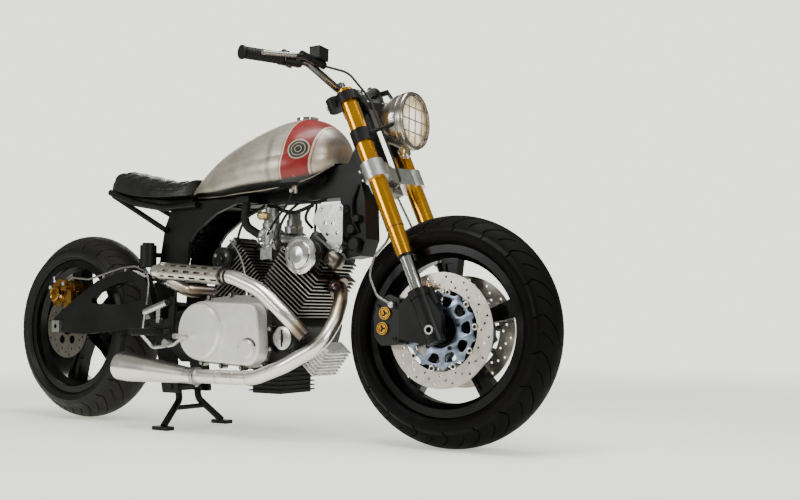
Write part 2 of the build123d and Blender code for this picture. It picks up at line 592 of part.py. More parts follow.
def seat():
    """The solo seat's plain block, cut to clear the rails and bars that carry it."""
    block = side_plate(SEAT_SIDE, -112, 112)
    plan = SEAT_PLAN + [(x, -y) for x, y in reversed(SEAT_PLAN)]
    block &= Pos(0, 0, 700) * extrude(outline(plan), 200)
    for side in (-1, 1):
        block -= pipe(rail_route(side), RAIL_BENDS, RAIL_R + 0.5)
    for x, z in SEAT_BARS:
        block -= rod((x, -120, z), (x, 120, z), BAR_UNDER_SEAT_R + 0.5)
    node("seat", Pos(), block)


def footrests():
    """Each side's hanger plate, carried by the frame's plate, with its folding peg."""
    plates = None
    for side in (-1, 1):
        low, high = sorted((side * 176, side * 184))
        plate = side_plate([(-162, 262), (-138, 262), (-128, 420), (-152, 420), (-158, 352), (-268, 350),
                            (-268, 328), (-160, 322)], low, high, 4)
        plate += rod((-257, side * (PLATE_Y[1] + 0.3), 339), (-257, side * 176, 339), 9)
        peg = rod((-170, side * 184, 312), (-186, side * 306, 312), 11)
        arm = rod((-150, side * 180, 312), (-172, side * 196, 312), 9)
        plates = plate + peg + arm if plates is None else plates + plate + peg + arm
    node("footrests", Pos(), plates)


def foot_levers():
    """On the right the brake pedal with its master cylinder, on the left the shift lever and its link."""
    pedal = pipe([(-262, -196, 301), (-211, -196, 262), (-121, -196, 271), (-72, -202, 297)], [30, 40], 6)
    pedal += rod((-150, -184.3, 276), (-150, -205, 276), 13)
    pedal += rod((-72, -196, 297), (-72, -238, 299), 8)
    pedal += rod((-262, -196, 301), (-250, -196, 372), 4)
    master = rod((-250, -196, 372), (-150, -196, 402), 11)
    master += rod((-188, -184.3, 346), (-188, -200, 346), 8) + rod((-188, -196, 346), (-188, -196, 390), 8)
    shift = rod((-150, 184.3, 276), (-150, 205, 276), 12)
    shift += pipe([(-150, 197, 276), (-118, 197, 268), (-66, 197, 284)], [40], 6)
    shift += rod((-66, 192, 284), (-66, 234, 284), 8)
    shift += rod((-150, 194, 276), (-150, 194, 248), 6)
    shift += rod((-150, 194, 250), (-80, 194, 246), 4)
    shift += rod((-80, 194, 244), (-80, 194, 268), 5)
    shift += rod((-80, ENGINE_HALF_WIDTH + 0.3, 268), (-80, 198, 268), 7)
    node("foot_levers", Pos(), pedal + master, shift)


def stand():
    """The centre stand: two legs on a pivot tube, a cross-bar and a foot under each leg."""
    x_pivot, z_pivot = STAND_PIVOT
    body = rod((x_pivot, -54, z_pivot), (x_pivot, 54, z_pivot), 15)
    pin = rod((x_pivot, -78, z_pivot), (x_pivot, 78, z_pivot), 9)
    for side in (-1, 1):
        leg = [(x_pivot, side * 42, z_pivot), (x_pivot + 8, side * 42, 88), (STAND_FOOT_X, side * 128, 12)]
        body += pipe(leg, [30], 11)
        body += Pos(STAND_FOOT_X, side * 130, 6) * Box(70, 30, 12)
    body += rod((x_pivot + 14, -68, 64), (x_pivot + 14, 68, 64), 8)
    node("centre_stand", Pos(), body + pin)


def front_wheel():
    node("front_tyre", STEERED, tyre(FRONT_TYRE_RADIUS, FRONT_TYRE_WIDTH, FRONT_RIM_WIDTH))
    node("front_rim", STEERED, rim(FRONT_RIM_WIDTH, 62, 42, 20, AXLE_R + RUNNING_FIT, RAKE))
    discs, carriers = [], []
    for side in (-1, 1):
        low, high = sorted((side * (FRONT_DISC_Y - DISC_HALF), side * (FRONT_DISC_Y + DISC_HALF)))
        disc = drilled_disc(FRONT_DISC_R, 110, 48, (121, 132.5, 144), side * FRONT_DISC_Y)
        carrier = disc_between(104, low, high, 52)
        for k in range(10):
            carrier -= Rot(0, 36 * k, 0) * side_plate([(-11, 66), (11, 66), (15, 92), (-15, 92)],
                                                      low - 1, high + 1, 4)
            carrier += Rot(0, 36 * k + 18, 0) * disc_between(9, low - 1.5, high + 1.5, 0, 104)
            disc -= Rot(0, 36 * k + 18, 0) * disc_between(9, low - 2, high + 2, 0, 104)
        carrier += disc_between(56, *sorted((side * 62, side * 67.5)), 46)
        carrier += disc_between(60, low, high, 46)
        discs.append(disc)
        carriers.append(carrier)
    node("front_discs", STEERED, *discs)
    node("front_disc_carriers", STEERED, *carriers)


FOOT_FLOOR = 60.0             # where a stanchion stands in its foot
FOOT_TOP = 118.0
CALIPER_FACE = 112.0          # a caliper's outer face, from the middle of the machine
CAP_PLACES = [(-146, 44), (-153, 3)]        # X and Z from the axle, level with the ground
# The brake lines on the fork, right side given for the pair that the calipers have
CALIPER_LINE = [(-86, 121, 110), (-117, 124, 150), (-125, 114, 217), (-93, 104, 262), (-42, 88, 290),
                (-34, 60, 352), (-26, 24, 430)]
CALIPER_LINE_BENDS = [30, 60, 40, 40, 60]
BAR_LINE = [(-12, -14, 440), (26, -30, 442), (42, -60, 500), (44, -70, 700), (24, -100, 790),
            (-21.9, -136.6, 828.3)]
BAR_LINE_BENDS = [20, 40, 90, 60]
BAR_KNEE = (-50.0, 178.0, 846.0)
BAR_END = (-126.0, 370.0, 866.0)
CARRIER_OUTLINE = [(-100, -26), (-104, 66), (-62, 104), (-20, 100), (26, 40), (28, -28), (-20, -40)]
LEVEL = Rot(0, RAKE, 0)


def fork():
    tubes, legs, feet = [], [], []
    for side in (-1, 1):
        x, y = -LEG_SETBACK, side * LEG_Y
        tube = rod((x, y, FORK_COLLAR_TOP), (x, y, FORK_TOP), FORK_TUBE_R, STANCHION_R)
        tube += rod((x, y, FORK_TUBE_BOTTOM), (x, y, FORK_COLLAR_TOP), FORK_COLLAR_R, STANCHION_R)
        tube += rod((x, y, FORK_TOP), (x, y, FORK_TOP + 7), STANCHION_R + 2)
        tubes.append(tube)
        legs.append(rod((x, y, FOOT_FLOOR), (x, y, FORK_COLLAR_TOP + 120), STANCHION_R))
        foot = rod((x, y, -34), (x, y, FOOT_TOP), 27) + rod((x, y, FOOT_TOP - 22), (x, y, FOOT_TOP), 30)
        foot += rod((27, side * 97, 62), (25, side * 97, 112), 11)
        low, high = sorted((y - side * 12, y + side * 12))
        foot += LEVEL * side_plate(CARRIER_OUTLINE, low, high, 8)
        foot -= rod((x, y, FOOT_FLOOR), (x, y, FOOT_TOP + 20), STANCHION_R)
        feet.append(foot - disc_between(AXLE_R, -200, 200))
    node("fork_tubes", STEERED, *tubes)
    node("fork_legs", STEERED, *legs)
    node("fork_feet", STEERED, *feet)
    node("front_axle", STEERED, disc_between(AXLE_R, -LEG_Y - 32, LEG_Y + 32, AXLE_BORE_R))
    clamps = []
    for z_low, z_high in (LOWER_CLAMP, UPPER_CLAMP):
        clamp = Pos(0, 0, z_low) * extrude(outline(
            [(-FORK_OFFSET - 36, -30), (-FORK_OFFSET - 36, 30), (-28, LEG_Y + 18), (20, LEG_Y + 18),
             (18, 60), (4, 0), (18, -60), (20, -LEG_Y - 18), (-28, -LEG_Y - 18)], 6), z_high - z_low)
        for side in (-1, 1):
            x, y = -LEG_SETBACK, side * LEG_Y
            clamp += rod((x, y, z_low), (x, y, z_high), FORK_TUBE_R + 9)
            if z_low == UPPER_CLAMP[0]:
                clamp += rod((-50, side * 106, z_low), (-50, side * 106, z_high + 10), 22)
            clamp -= rod((x, y, z_low - 1), (x, y, z_high + 12), FORK_TUBE_R)
        clamps.append(clamp)
    stem = rod((-FORK_OFFSET, 0, LOWER_CLAMP[1] - 20), (-FORK_OFFSET, 0, UPPER_CLAMP[0]), STEM_R)
    node("lower_clamp", STEERED, clamps[0] + stem)
    node("upper_clamp", STEERED, clamps[1])


def front_brakes():
    """A caliper and its two caps on each foot, and the lines that join them under the lower clamp."""
    calipers, caps = [], []
    for side in (-1, 1):
        low, high = sorted((side * 48, side * CALIPER_FACE))
        body = LEVEL * side_plate([(-180, -20), (-184, 30), (-172, 78), (-136, 96), (-104, 84), (-104, -40),
                                   (-160, -44)], low, high, 8)
        gap = DISC_HALF + PAD_GAP
        slot_low, slot_high = sorted((side * (FRONT_DISC_Y - gap), side * (FRONT_DISC_Y + gap)))
        body -= disc_between(FRONT_DISC_R + 5, slot_low, slot_high)
        y_plate = sorted((side * (LEG_Y - 12), side * (LEG_Y + 12)))
        body -= LEVEL * side_plate(CARRIER_OUTLINE, *y_plate, 8)
        calipers.append(body)
        for x, z in CAP_PLACES:
            low, high = sorted((side * (CALIPER_FACE + 0.3), side * (CALIPER_FACE + 7)))
            cap = disc_between(17, low, high, 0, x, z)
            low, high = sorted((side * (CALIPER_FACE + 4), side * (CALIPER_FACE + 8)))
            caps.append(LEVEL * (cap - disc_between(10, low, high, 0, x, z)))
    node("front_calipers", STEERED, *calipers, *caps)
    lines = Pos(-20, 0, LOWER_CLAMP[0] - 14.3) * Box(26, 56, 28)
    for side in (-1, 1):
        route = [(x, side * y, z) for x, y, z in CALIPER_LINE]
        lines += pipe(route, CALIPER_LINE_BENDS, LINE_R)
        x, y, z = route[0]
        lines += rod((x, side * (CALIPER_FACE + 0.3), z), (x, y + side * 5, z), 7)
    lines += pipe(BAR_LINE, BAR_LINE_BENDS, LINE_R)
    node("front_brake_lines", STEERED, lines)


def hand_place(side):
    """A grip's inner bend, its outer end and its direction."""
    knee = Vector(BAR_KNEE[0], side * BAR_KNEE[1], BAR_KNEE[2])
    outer = Vector(BAR_END[0], side * BAR_END[1], BAR_END[2])
    return outer, (outer - knee).normalized()


def controls():
    """The handlebar with its risers, grips, switch housings, levers and the front master cylinder."""
    half = [(-42, 0, 782), (-42, 70, 782), BAR_KNEE, BAR_END]
    points = [(x, -y, z) for x, y, z in reversed(half[1:])] + half[1:]
    bar = pipe(points, [60, 40, 40, 60], BAR_R)
    for side in (-1, 1):
        bar += rod((-42, side * 48, UPPER_CLAMP[1]), (-42, side * 48, 800), 16)
    node("handlebar", STEERED, bar)
    grips, levers = [], []
    for side in (-1, 1):
        outer, along = hand_place(side)
        inner = outer - along * 122
        grip = rod(tuple(inner), tuple(outer + along * 6), 17)
        grip += rod(tuple(outer + along * 2), tuple(outer + along * 6), 20)
        grip -= rod(tuple(inner - along), tuple(outer), BAR_R + 0.1)
        grips.append(grip)
        perch = outer - along * 158
        lever = rod(tuple(perch - along * 26), tuple(perch + along * 33), 19, BAR_R + 0.1)
        lever += rod(tuple(perch + Vector(17, 0, -5)), tuple(perch + Vector(46, 0, -13)), 9)
        lever += rod(tuple(perch + Vector(44, 0, -13)), tuple(perch + Vector(2, side * 146, -22)), 6)
        if side == -1:
            lever += rod(tuple(perch + Vector(40, -12, -8)), tuple(perch + Vector(46, 84, -22)), 11)
            lever += Location(perch + Vector(54, 62, 4)) * Rot(0, RAKE, 0) * Box(34, 46, 34)
        levers.append(lever)
    node("hand_grips", STEERED, *grips)
    node("hand_levers", STEERED, *levers)


LAMP = Pos(119, 0, 599) * Rot(0, RAKE, 0)


def headlight():
    """A round lamp: domed bucket, glass and a wire guard, its axis level."""
    outer = [(0, -98), (34, -94), (62, -74), (79, -40), (82, 0)]        # radius, distance behind the rim
    hollow = Rot(0, 90, 0) * Pos(0, 0, -9) * Cylinder(72, 18)
    dome = Rot(0, 90, 0) * revolve(Plane.XZ * make_face(Polyline(*outer, (0, 0), close=True)), Axis.Z, 360)
    node("headlight_shell", STEERED * LAMP, dome - hollow)
    node("headlight_glass", STEERED * LAMP, Rot(0, 90, 0) * Pos(0, 0, -12) * Cylinder(71.7, 11.4))
    wires = Rot(0, 90, 0) * Pos(0, 0, 3.2) * (Cylinder(81, 6) - Cylinder(75, 6))
    for offset in (-36, 0, 36):
        reach = sqrt(78 ** 2 - offset ** 2)
        wires += rod((3.4, offset, -reach), (3.4, offset, reach), 2)
        wires += rod((3.0, -reach, offset), (3.0, reach, offset), 2)
    node("headlight_guard", STEERED * LAMP, wires)
    arms = []
    for side in (-1, 1):
        arm = Pos(-LEG_SETBACK, side * LEG_Y, 590) * Cylinder(FORK_TUBE_R + 5, 40)
        arm -= Pos(-LEG_SETBACK, side * LEG_Y, 590) * Cylinder(FORK_TUBE_R, 40)
        arm += rod((25, side * LEG_Y, 590), (96, side * 70, 590), 6)
        arms.append(arm - LAMP * scale(dome, 1.004))
    node("headlight_bracket", STEERED, *arms)


def main():
    engine()
    engine_covers()
    lower_engine()
    intake()
    chassis()
    subframe()
    swingarm()
    rear_wheel()
    rear_brake()
    chain()
    exhaust()
    tank()
    seat()
    footrests()
    foot_levers()
    stand()
    front_wheel()
    fork()
    front_brakes()
    controls()
    headlight()
    os.makedirs("parts", exist_ok=True)
    for name, pieces in NODES.items():
        solids = [solid for piece in pieces for solid in piece.solids()]
        export_step(solids[0] if len(solids) == 1 else Compound(solids), f"parts/{name}.step")


main()
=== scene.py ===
"""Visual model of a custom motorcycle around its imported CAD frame.

Metres, +X forward, +Y the rider's left, +Z up, the ground at Z = 0.
"""
import math

import bmesh
import bpy
from mathutils import Matrix, Vector


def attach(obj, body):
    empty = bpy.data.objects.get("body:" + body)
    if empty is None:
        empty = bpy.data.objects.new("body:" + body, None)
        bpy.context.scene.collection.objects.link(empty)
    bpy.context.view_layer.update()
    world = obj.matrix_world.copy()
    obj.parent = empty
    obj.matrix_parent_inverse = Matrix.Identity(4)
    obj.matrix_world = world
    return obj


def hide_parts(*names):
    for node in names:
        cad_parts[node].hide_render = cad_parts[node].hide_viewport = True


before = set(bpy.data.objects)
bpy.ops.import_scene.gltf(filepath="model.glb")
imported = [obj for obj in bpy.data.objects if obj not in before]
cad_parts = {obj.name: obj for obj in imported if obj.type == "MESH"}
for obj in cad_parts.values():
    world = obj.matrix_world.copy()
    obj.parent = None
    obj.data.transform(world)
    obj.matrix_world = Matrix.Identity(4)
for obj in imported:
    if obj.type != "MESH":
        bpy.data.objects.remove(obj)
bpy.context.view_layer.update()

# Sizes shared with the CAD model
WHEELBASE = 1.521
FRONT_TYRE = (0.318, 0.150, 0.102)     # radius, width, width of its rim
REAR_TYRE = (0.323, 0.186, 0.154)
REAR_AXLE = Vector((-WHEELBASE / 2, 0, 0.326))
RIM_FLANGE_R = 0.2325
RAKE = math.radians(23.5)
TRAIL = 0.100
REST_STEER = math.radians(4.7)
FORK_OFFSET = FRONT_TYRE[0] * math.sin(RAKE) - TRAIL * math.cos(RAKE)
CRANK = Vector((0.150, 0, 0.310))
V_HALF_ANGLE = math.radians(37.5)
CYLINDER_SHIFT = 0.012
FULL_FINS_END = 0.262
CARBURETTORS = ((-1, 0.158), (1, 0.142))     # side and place along the machine
BAR_KNEE = Vector((-0.050, 0.178, 0.846))
BAR_END = Vector((-0.126, 0.370, 0.866))
LENS_R = 0.0717
RIGHT = Vector((0, -1, 0))

# Frames: the fork's, the same as it is parked, the rear hub's and the lamp's
FORK = Matrix.Translation((WHEELBASE / 2, 0, FRONT_TYRE[0])) @ Matrix.Rotation(-RAKE, 4, "Y")
STEERED = (FORK @ Matrix.Translation((-FORK_OFFSET, 0, 0)) @ Matrix.Rotation(REST_STEER, 4, "Z")
           @ Matrix.Translation((FORK_OFFSET, 0, 0)))
REAR_HUB = Matrix.Translation(REAR_AXLE)
LEVEL = Matrix.Rotation(RAKE, 4, "Y")
LAMP = STEERED @ Matrix.Translation((0.119, 0, 0.599)) @ LEVEL

# The camera fitted to the photograph, for an image of 800 by 500
CAMERA_PLACE = Vector((2.16857, -2.30290, 0.34899))
CAMERA_LOOK = Vector((-0.56422, 0.82261, 0.07049))
CAMERA_LENS = 44.288
SENSOR_WIDTH = 36.0

# The studio: lights by name, place, target, size and power
LIGHTS = (("top_light", (0.9, -0.4, 3.4), (0.1, 0, 0.3), (3.2, 1.4), 135),
          ("side_light", (-1.4, -3.8, 1.7), (0, 0, 0.5), (1.8, 1.2), 56),
          ("front_light", (3.9, -1.4, 2.0), (0.3, 0, 0.5), (1.0, 1.6), 58),
          ("rear_light", (-2.8, 2.8, 2.2), (0, 0, 0.5), (2.0, 1.4), 50))
BACKGROUND = (0.725, 0.750, 0.645)
BACKGROUND_SHINES = 0.36
BACKGROUND_SHOWS = 2.9

# Colours
BLACK = (0.0024, 0.0022, 0.0021)
SILVER = (0.66, 0.65, 0.62)
GOLD = (0.80, 0.42, 0.045)

# The tank's red band and round badge
BAND_LEVEL = 0.76
BAND_X = 0.294
BAND_HALF = 0.0385
BAND_LEAN = 0.16
BAND_CURVE = -0.5
BAND_FOOT = 0.752
BADGE = (0.309, 0.848)
BADGE_R = 0.031
BADGE_RINGS = ((0.92, 0.05), (0.62, 0.022), (0.30, 0.022))     # middle and half width, of the radius


# Paint kit: one small class that writes node trees
SOCKETS = {"colour": "Base Color", "metallic": "Metallic", "roughness": "Roughness", "coat": "Coat Weight",
           "coat_roughness": "Coat Roughness", "alpha": "Alpha", "specular": "Specular IOR Level",
           "normal": "Normal", "emission": "Emission Color", "emission_strength": "Emission Strength"}


def scaled(colour, factor, lift=0.0):
    return tuple(factor * share + lift for share in colour)


class Paint:
    """A node material under construction, with short calls for the nodes used here."""

    def __init__(self, name, **values):
        self.material = bpy.data.materials.new(name)
        self.material.use_nodes = True
        self.shader = self.material.node_tree.nodes["Principled BSDF"]
        self.set(**values)

    def set(self, **values):
        for key, value in values.items():
            self.feed(self.shader.inputs[SOCKETS[key]], value)

    def feed(self, socket, value):
        if isinstance(value, bpy.types.NodeSocket):
            self.material.node_tree.links.new(value, socket)
        elif isinstance(value, tuple) and socket.type == "RGBA":
            socket.default_value = (*value, 1.0)
        else:
            socket.default_value = value

    def node(self, kind, inputs=None, **settings):
        node = self.material.node_tree.nodes.new("ShaderNode" + kind)
        for key, value in settings.items():
            setattr(node, key, value)
        for key, value in (inputs or {}).items():
            self.feed(node.inputs[key], value)
        return node

    def mapping(self, vector, **values):
        return self.node("Mapping", {"Vector": vector, **values}, vector_type="POINT").outputs["Vector"]

    def place(self, matrix=None):
        """Object coordinates, or those of a frame given by its matrix."""
        here = self.node("TexCoord").outputs["Object"]
        if matrix is None:
            return here
        inverse = matrix.inverted()
        return self.mapping(here, Location=inverse.to_translation(), Rotation=inverse.to_euler())

    def stretch(self, vector, factors):
        return self.mapping(vector, Scale=factors)

    def split(self, vector):
        return self.node("SeparateXYZ", {0: vector}).outputs

    def noise(self, vector, scale, detail=4.0, roughness=0.55, distortion=0.0):
        return self.node("TexNoise", {"Vector": vector, "Scale": scale, "Detail": detail,
                                      "Roughness": roughness, "Distortion": distortion}).outputs["Fac"]

    def cells(self, vector, scale):
        return self.node("TexVoronoi", {"Vector": vector, "Scale": scale}).outputs["Distance"]

    def math(self, kind, first, second=0.0, third=0.0):
        return self.node("Math", {0: first, 1: second, 2: third}, operation=kind).outputs[0]

    def plus(self, first, second):
        return self.math("ADD", first, second)

    def minus(self, first, second):
        return self.math("SUBTRACT", first, second)

    def times(self, first, second):
        return self.math("MULTIPLY", first, second)

    def size(self, value):
        return self.math("ABSOLUTE", value)

    def largest(self, first, *others):
        for other in others:
            first = self.math("MAXIMUM", first, other)
        return first

    def reach(self, first, second):
        """Distance from an axis, by two coordinates."""
        squares = [self.math("POWER", value, 2.0) for value in (first, second)]
        return self.math("SQRT", self.plus(*squares))

    def span(self, value, low, high, out_low=0.0, out_high=1.0):
        """A clamped, smooth step from one range to another."""
        return self.node("MapRange", {"Value": value, "From Min": low, "From Max": high, "To Min": out_low,
                                      "To Max": out_high}, interpolation_type="SMOOTHSTEP").outputs["Result"]

    def fall(self, value, low, high):
        """One below a range, none above it."""
        return self.span(value, low, high, 1.0, 0.0)

    def ramp(self, value, *stops):
        """A smooth ramp through pairs of position and colour."""
        node = self.node("ValToRGB", {"Fac": value})
        elements = node.color_ramp.elements
        while len(elements) < len(stops):
            elements.new(0.5)
        for element, (position, colour) in zip(elements, stops):
            element.position = position
            element.color = (*colour, 1.0)
        return node.outputs["Color"]

    def blend(self, share, first, second, kind="MIX"):
        node = self.node("Mix", data_type="RGBA", blend_type=kind)
        self.feed(node.inputs["Factor"], share)
        colours = [socket for socket in node.inputs if socket.type == "RGBA"]
        self.feed(colours[0], first)
        self.feed(colours[1], second)
        return [socket for socket in node.outputs if socket.type == "RGBA"][0]

    def bump(self, height, distance, strength):
        return self.node("Bump", {"Height": height, "Distance": distance,
                                  "Strength": strength}).outputs["Normal"]

    def grain(self, vector, scale, distance=0.0003, strength=0.3):
        return self.bump(self.noise(vector, scale, 3.0), distance, strength)


# Mesh kit
def circle(radius, count, first=0.0):
    """Points round a circle."""
    turns = [first + math.tau * k / count for k in range(count)]
    return [(radius * math.cos(turn), radius * math.sin(turn)) for turn in turns]


def arc_points(start, middle, end, count):
    """Points along the arc that passes three flat points."""
    (ax, ay), (bx, by), (cx, cy) = start, middle, end
    twice = 2 * (ax * (by - cy) + bx * (cy - ay) + cx * (ay - by))
    a, b, c = (x * x + y * y for x, y in (start, middle, end))
    centre = ((a * (by - cy) + b * (cy - ay) + c * (ay - by)) / twice,
              (a * (cx - bx) + b * (ax - cx) + c * (bx - ax)) / twice)
    radius = math.dist(start, centre)
    first, halfway, last = (math.atan2(y - centre[1], x - centre[0]) for x, y in (start, middle, end))
    turn = (last - first) % math.tau
    if (halfway - first) % math.tau > turn:
        turn -= math.tau
    angles = [first + turn * k / (count - 1) for k in range(count)]
    return [(centre[0] + radius * math.cos(angle), centre[1] + radius * math.sin(angle)) for angle in angles]


def smooth_path(points, share=8):
    """Points along a smooth curve through the given ones."""
    points = [Vector(point) for point in points]
    ends = [2 * points[0] - points[1], *points, 2 * points[-1] - points[-2]]
    path = []
    for a, b, c, d in zip(ends, ends[1:], ends[2:], ends[3:]):
        for k in range(share):
            t = k / share
            path.append(0.5 * (2 * b + (c - a) * t + (2 * a - 5 * b + 4 * c - d) * t * t
                               + (3 * b - a - 3 * c + d) * t ** 3))
    return path + [points[-1]]


def step(value, low, high):
    """A clamped, smooth step from nought to one."""
    share = min(1.0, max(0.0, (value - low) / (high - low)))
    return share * share * (3 - 2 * share)


def read_rows(rows, x):
    """A value between rows of place and value."""
    for (x_low, low), (x_high, high) in zip(rows, rows[1:]):
        if x <= x_high:
            return low + (high - low) * max(0.0, (x - x_low) / (x_high - x_low))
    return rows[-1][1]


def toward(place, direction):
    """A frame at a place whose local Z points along a direction."""
    return Matrix.Translation(place) @ Vector(direction).to_track_quat("Z", "Y").to_matrix().to_4x4()


def sideways(x, y, z, side):
    """A frame on one side of the machine whose local Z points out."""
    return toward((x, side * y, z), (0, side, 0))


def framed(place, *axes):
    """A frame at a place with its three axes."""
    return Matrix.Translation(place) @ Matrix(axes).transposed().to_4x4()


def show(name, data):
    """A new object in the scene."""
    thing = bpy.data.objects.new(name, data)
    bpy.context.collection.objects.link(thing)
    return thing


def applied(thing):
    """The object's mesh with its modifiers applied and taken off."""
    graph = bpy.context.evaluated_depsgraph_get()
    mesh = bpy.data.meshes.new_from_object(thing.evaluated_get(graph))
    thing.modifiers.clear()
    return mesh


class Form:
    """A mesh piece under construction, made of closed skins."""

    def __init__(self):
        self.points = []
        self.faces = []
        self.slots = []

    def add(self, points, faces, slot=0):
        base = len(self.points)
        self.points.extend(points)
        self.faces.extend(tuple(base + index for index in face) for face in faces)
        self.slots.extend([slot] * len(faces))

    def grid(self, rows, loop=False, slot=0):
        """A skin over rows of points that each go round; loop joins the last row to the first."""
        count, width = len(rows), len(rows[0])
        faces = []
        for i in range(count if loop else count - 1):
            here, there = i * width, (i + 1) % count * width
            faces.extend((here + j, here + (j + 1) % width, there + (j + 1) % width, there + j)
                         for j in range(width))
        if not loop:
            faces.append(tuple(range(width))[::-1])
            faces.append(tuple(range((count - 1) * width, count * width)))
        self.add([point for row in rows for point in row], faces, slot)

    def lathe(self, place, profile, segments=20, loop=False, slot=0):
        """Radius and height pairs turned about the local Z of a frame."""
        self.grid([[place @ Vector((x, y, height)) for x, y in circle(radius, segments)]
                   for radius, height in profile], loop, slot)

    def tube(self, path, radius, sides=10, slot=0):
        """A round tube along points."""
        path = [Vector(point) for point in path]
        last = len(path) - 1
        along = [(path[min(k + 1, last)] - path[max(k - 1, 0)]).normalized() for k in range(last + 1)]
        side = along[0].orthogonal().normalized()
        rows = []
        for point, direction in zip(path, along):
            side = (side - direction * side.dot(direction)).normalized()
            other = direction.cross(side)
            rows.append([point + side * x + other * y for x, y in circle(radius, sides)])
        self.grid(rows, slot=slot)

    def prism(self, place, outline, low, high, slot=0):
        """A flat outline raised from one local height to another."""
        self.grid([[place @ Vector((x, y, height)) for x, y in outline] for height in (low, high)], slot=slot)

    def pierced(self, place, outlines, low, high, bevel=0.0005):
        """A flat plate with holes: the first outline is its edge and the others are its holes."""
        curve = bpy.data.curves.new("plate", "CURVE")
        curve.dimensions = "2D"
        curve.fill_mode = "BOTH"
        curve.extrude = (high - low) / 2 - bevel
        curve.bevel_depth = bevel
        curve.bevel_resolution = 1
        curve.offset = -bevel
        for outline in outlines:
            spline = curve.splines.new("POLY")
            spline.points.add(len(outline) - 1)
            for point, (x, y) in zip(spline.points, outline):
                point.co = (x, y, 0, 1)
            spline.use_cyclic_u = True
        thing = bpy.data.objects.new("plate", curve)
        mesh = bpy.data.meshes.new_from_object(thing)
        plate = bmesh.new()
        plate.from_mesh(mesh)
        bmesh.ops.remove_doubles(plate, verts=plate.verts, dist=1e-6)
        plate.verts.index_update()
        middle = Vector((0, 0, (low + high) / 2))
        self.add([place @ (vertex.co + middle) for vertex in plate.verts],
                 [tuple(vertex.index for vertex in face.verts) for face in plate.faces])
        plate.free()
        bpy.data.objects.remove(thing)
        bpy.data.curves.remove(curve)
        bpy.data.meshes.remove(mesh)

    def ring(self, place, radius, wire, segments=32, slot=0):
        """A round ring of wire about the local Z of a frame."""
        self.lathe(place, [(radius + x, y) for x, y in circle(wire, 8)], segments, True, slot)

    def mesh(self, name):
        """A mesh of the skins, each turned outward."""
        mesh = bpy.data.meshes.new(name)
        mesh.from_pydata(self.points, [], self.faces)
        turned = bmesh.new()
        turned.from_mesh(mesh)
        bmesh.ops.recalc_face_normals(turned, faces=turned.faces)
        turned.to_mesh(mesh)
        turned.free()
        return mesh

    def piece(self, name, body, slot, *materials, replaces=(), sharp=35):
        mesh = self.mesh(name)
        for material in materials:
            mesh.materials.append(material)
        mesh.polygons.foreach_set("material_index", self.slots)
        mesh.polygons.foreach_set("use_smooth", [True] * len(self.faces))
        mesh.set_sharp_from_angle(angle=math.radians(sharp))
        thing = show(name, mesh)
        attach(thing, body)
        if replaces:
            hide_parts(*replaces)
        return thing


def cut(thing, cutters):
    """Take closed forms out of a piece."""
    mesh = bpy.data.meshes.new("cutters")
    mesh.from_pydata(cutters.points, [], cutters.faces)
    tool = show("cutters", mesh)
    modifier = thing.modifiers.new("cut", "BOOLEAN")
    modifier.operation = "DIFFERENCE"
    modifier.solver = "EXACT"
    modifier.object = tool
    thing.data = applied(thing)
    bpy.data.objects.remove(tool)
    bpy.data.meshes.remove(mesh)


def hex_bolt(form, place, size, slot=0):
    """A washer and a chamfered hexagon head."""
    form.lathe(place, [(1.35 * size, 0), (1.35 * size, 0.2 * size)], 16, slot=slot)
    form.lathe(place, [(size, 0.2 * size), (size, 0.75 * size), (0.86 * size, 0.9 * size)], 6, slot=slot)


def socket_bolt(form, place, size, slot=0):
    """A round head with a recess."""
    form.lathe(place, [(size, 0), (size, 0.85 * size), (0.86 * size, size), (0.5 * size, size),
                       (0.46 * size, 0.5 * size)], 16, slot=slot)


# Camera, lights and floor
def make_camera():
    camera = show("camera", bpy.data.cameras.new("camera"))
    camera.data.sensor_width = SENSOR_WIDTH
    camera.data.lens = CAMERA_LENS
    camera.location = CAMERA_PLACE
    camera.rotation_euler = CAMERA_LOOK.to_track_quat("-Z", "Y").to_euler()
    bpy.context.scene.camera = camera


def make_lights():
    for name, place, target, size, power in LIGHTS:
        light = bpy.data.lights.new(name, "AREA")
        light.shape = "RECTANGLE"
        light.size, light.size_y = size
        light.energy = power
        thing = show(name, light)
        thing.location = place
        thing.rotation_euler = (Vector(target) - Vector(place)).to_track_quat("-Z", "Y").to_euler()


def make_background():
    """A pale backdrop, which shows brighter than it shines."""
    world = bpy.data.worlds.new("studio")
    world.use_nodes = True
    nodes, links = world.node_tree.nodes, world.node_tree.links
    background = nodes["Background"]
    background.inputs["Color"].default_value = (*BACKGROUND, 1)
    seen = nodes.new("ShaderNodeMapRange")
    links.new(nodes.new("ShaderNodeLightPath").outputs["Is Camera Ray"], seen.inputs["Value"])
    seen.inputs["To Min"].default_value = BACKGROUND_SHINES
    seen.inputs["To Max"].default_value = BACKGROUND_SHOWS
    links.new(seen.outputs["Result"], background.inputs["Strength"])
    bpy.context.scene.world = world


def make_floor():
    """A pale floor that fades, well away from the machine, into the plain background."""
    mesh = bpy.data.meshes.new("floor")
    form = bmesh.new()
    bmesh.ops.create_circle(form, cap_ends=True, segments=64, radius=9.0)
    form.to_mesh(mesh)
    form.free()
    paint = Paint("floor_paint", colour=(0.90, 0.91, 0.86), roughness=0.9, specular=0.1,
                  emission=BACKGROUND, emission_strength=0.70)
    x, y, z = paint.split(paint.place())
    paint.set(alpha=paint.fall(paint.reach(x, y), 1.2, 5.0))
    mesh.materials.append(paint.material)
    show("floor", mesh)


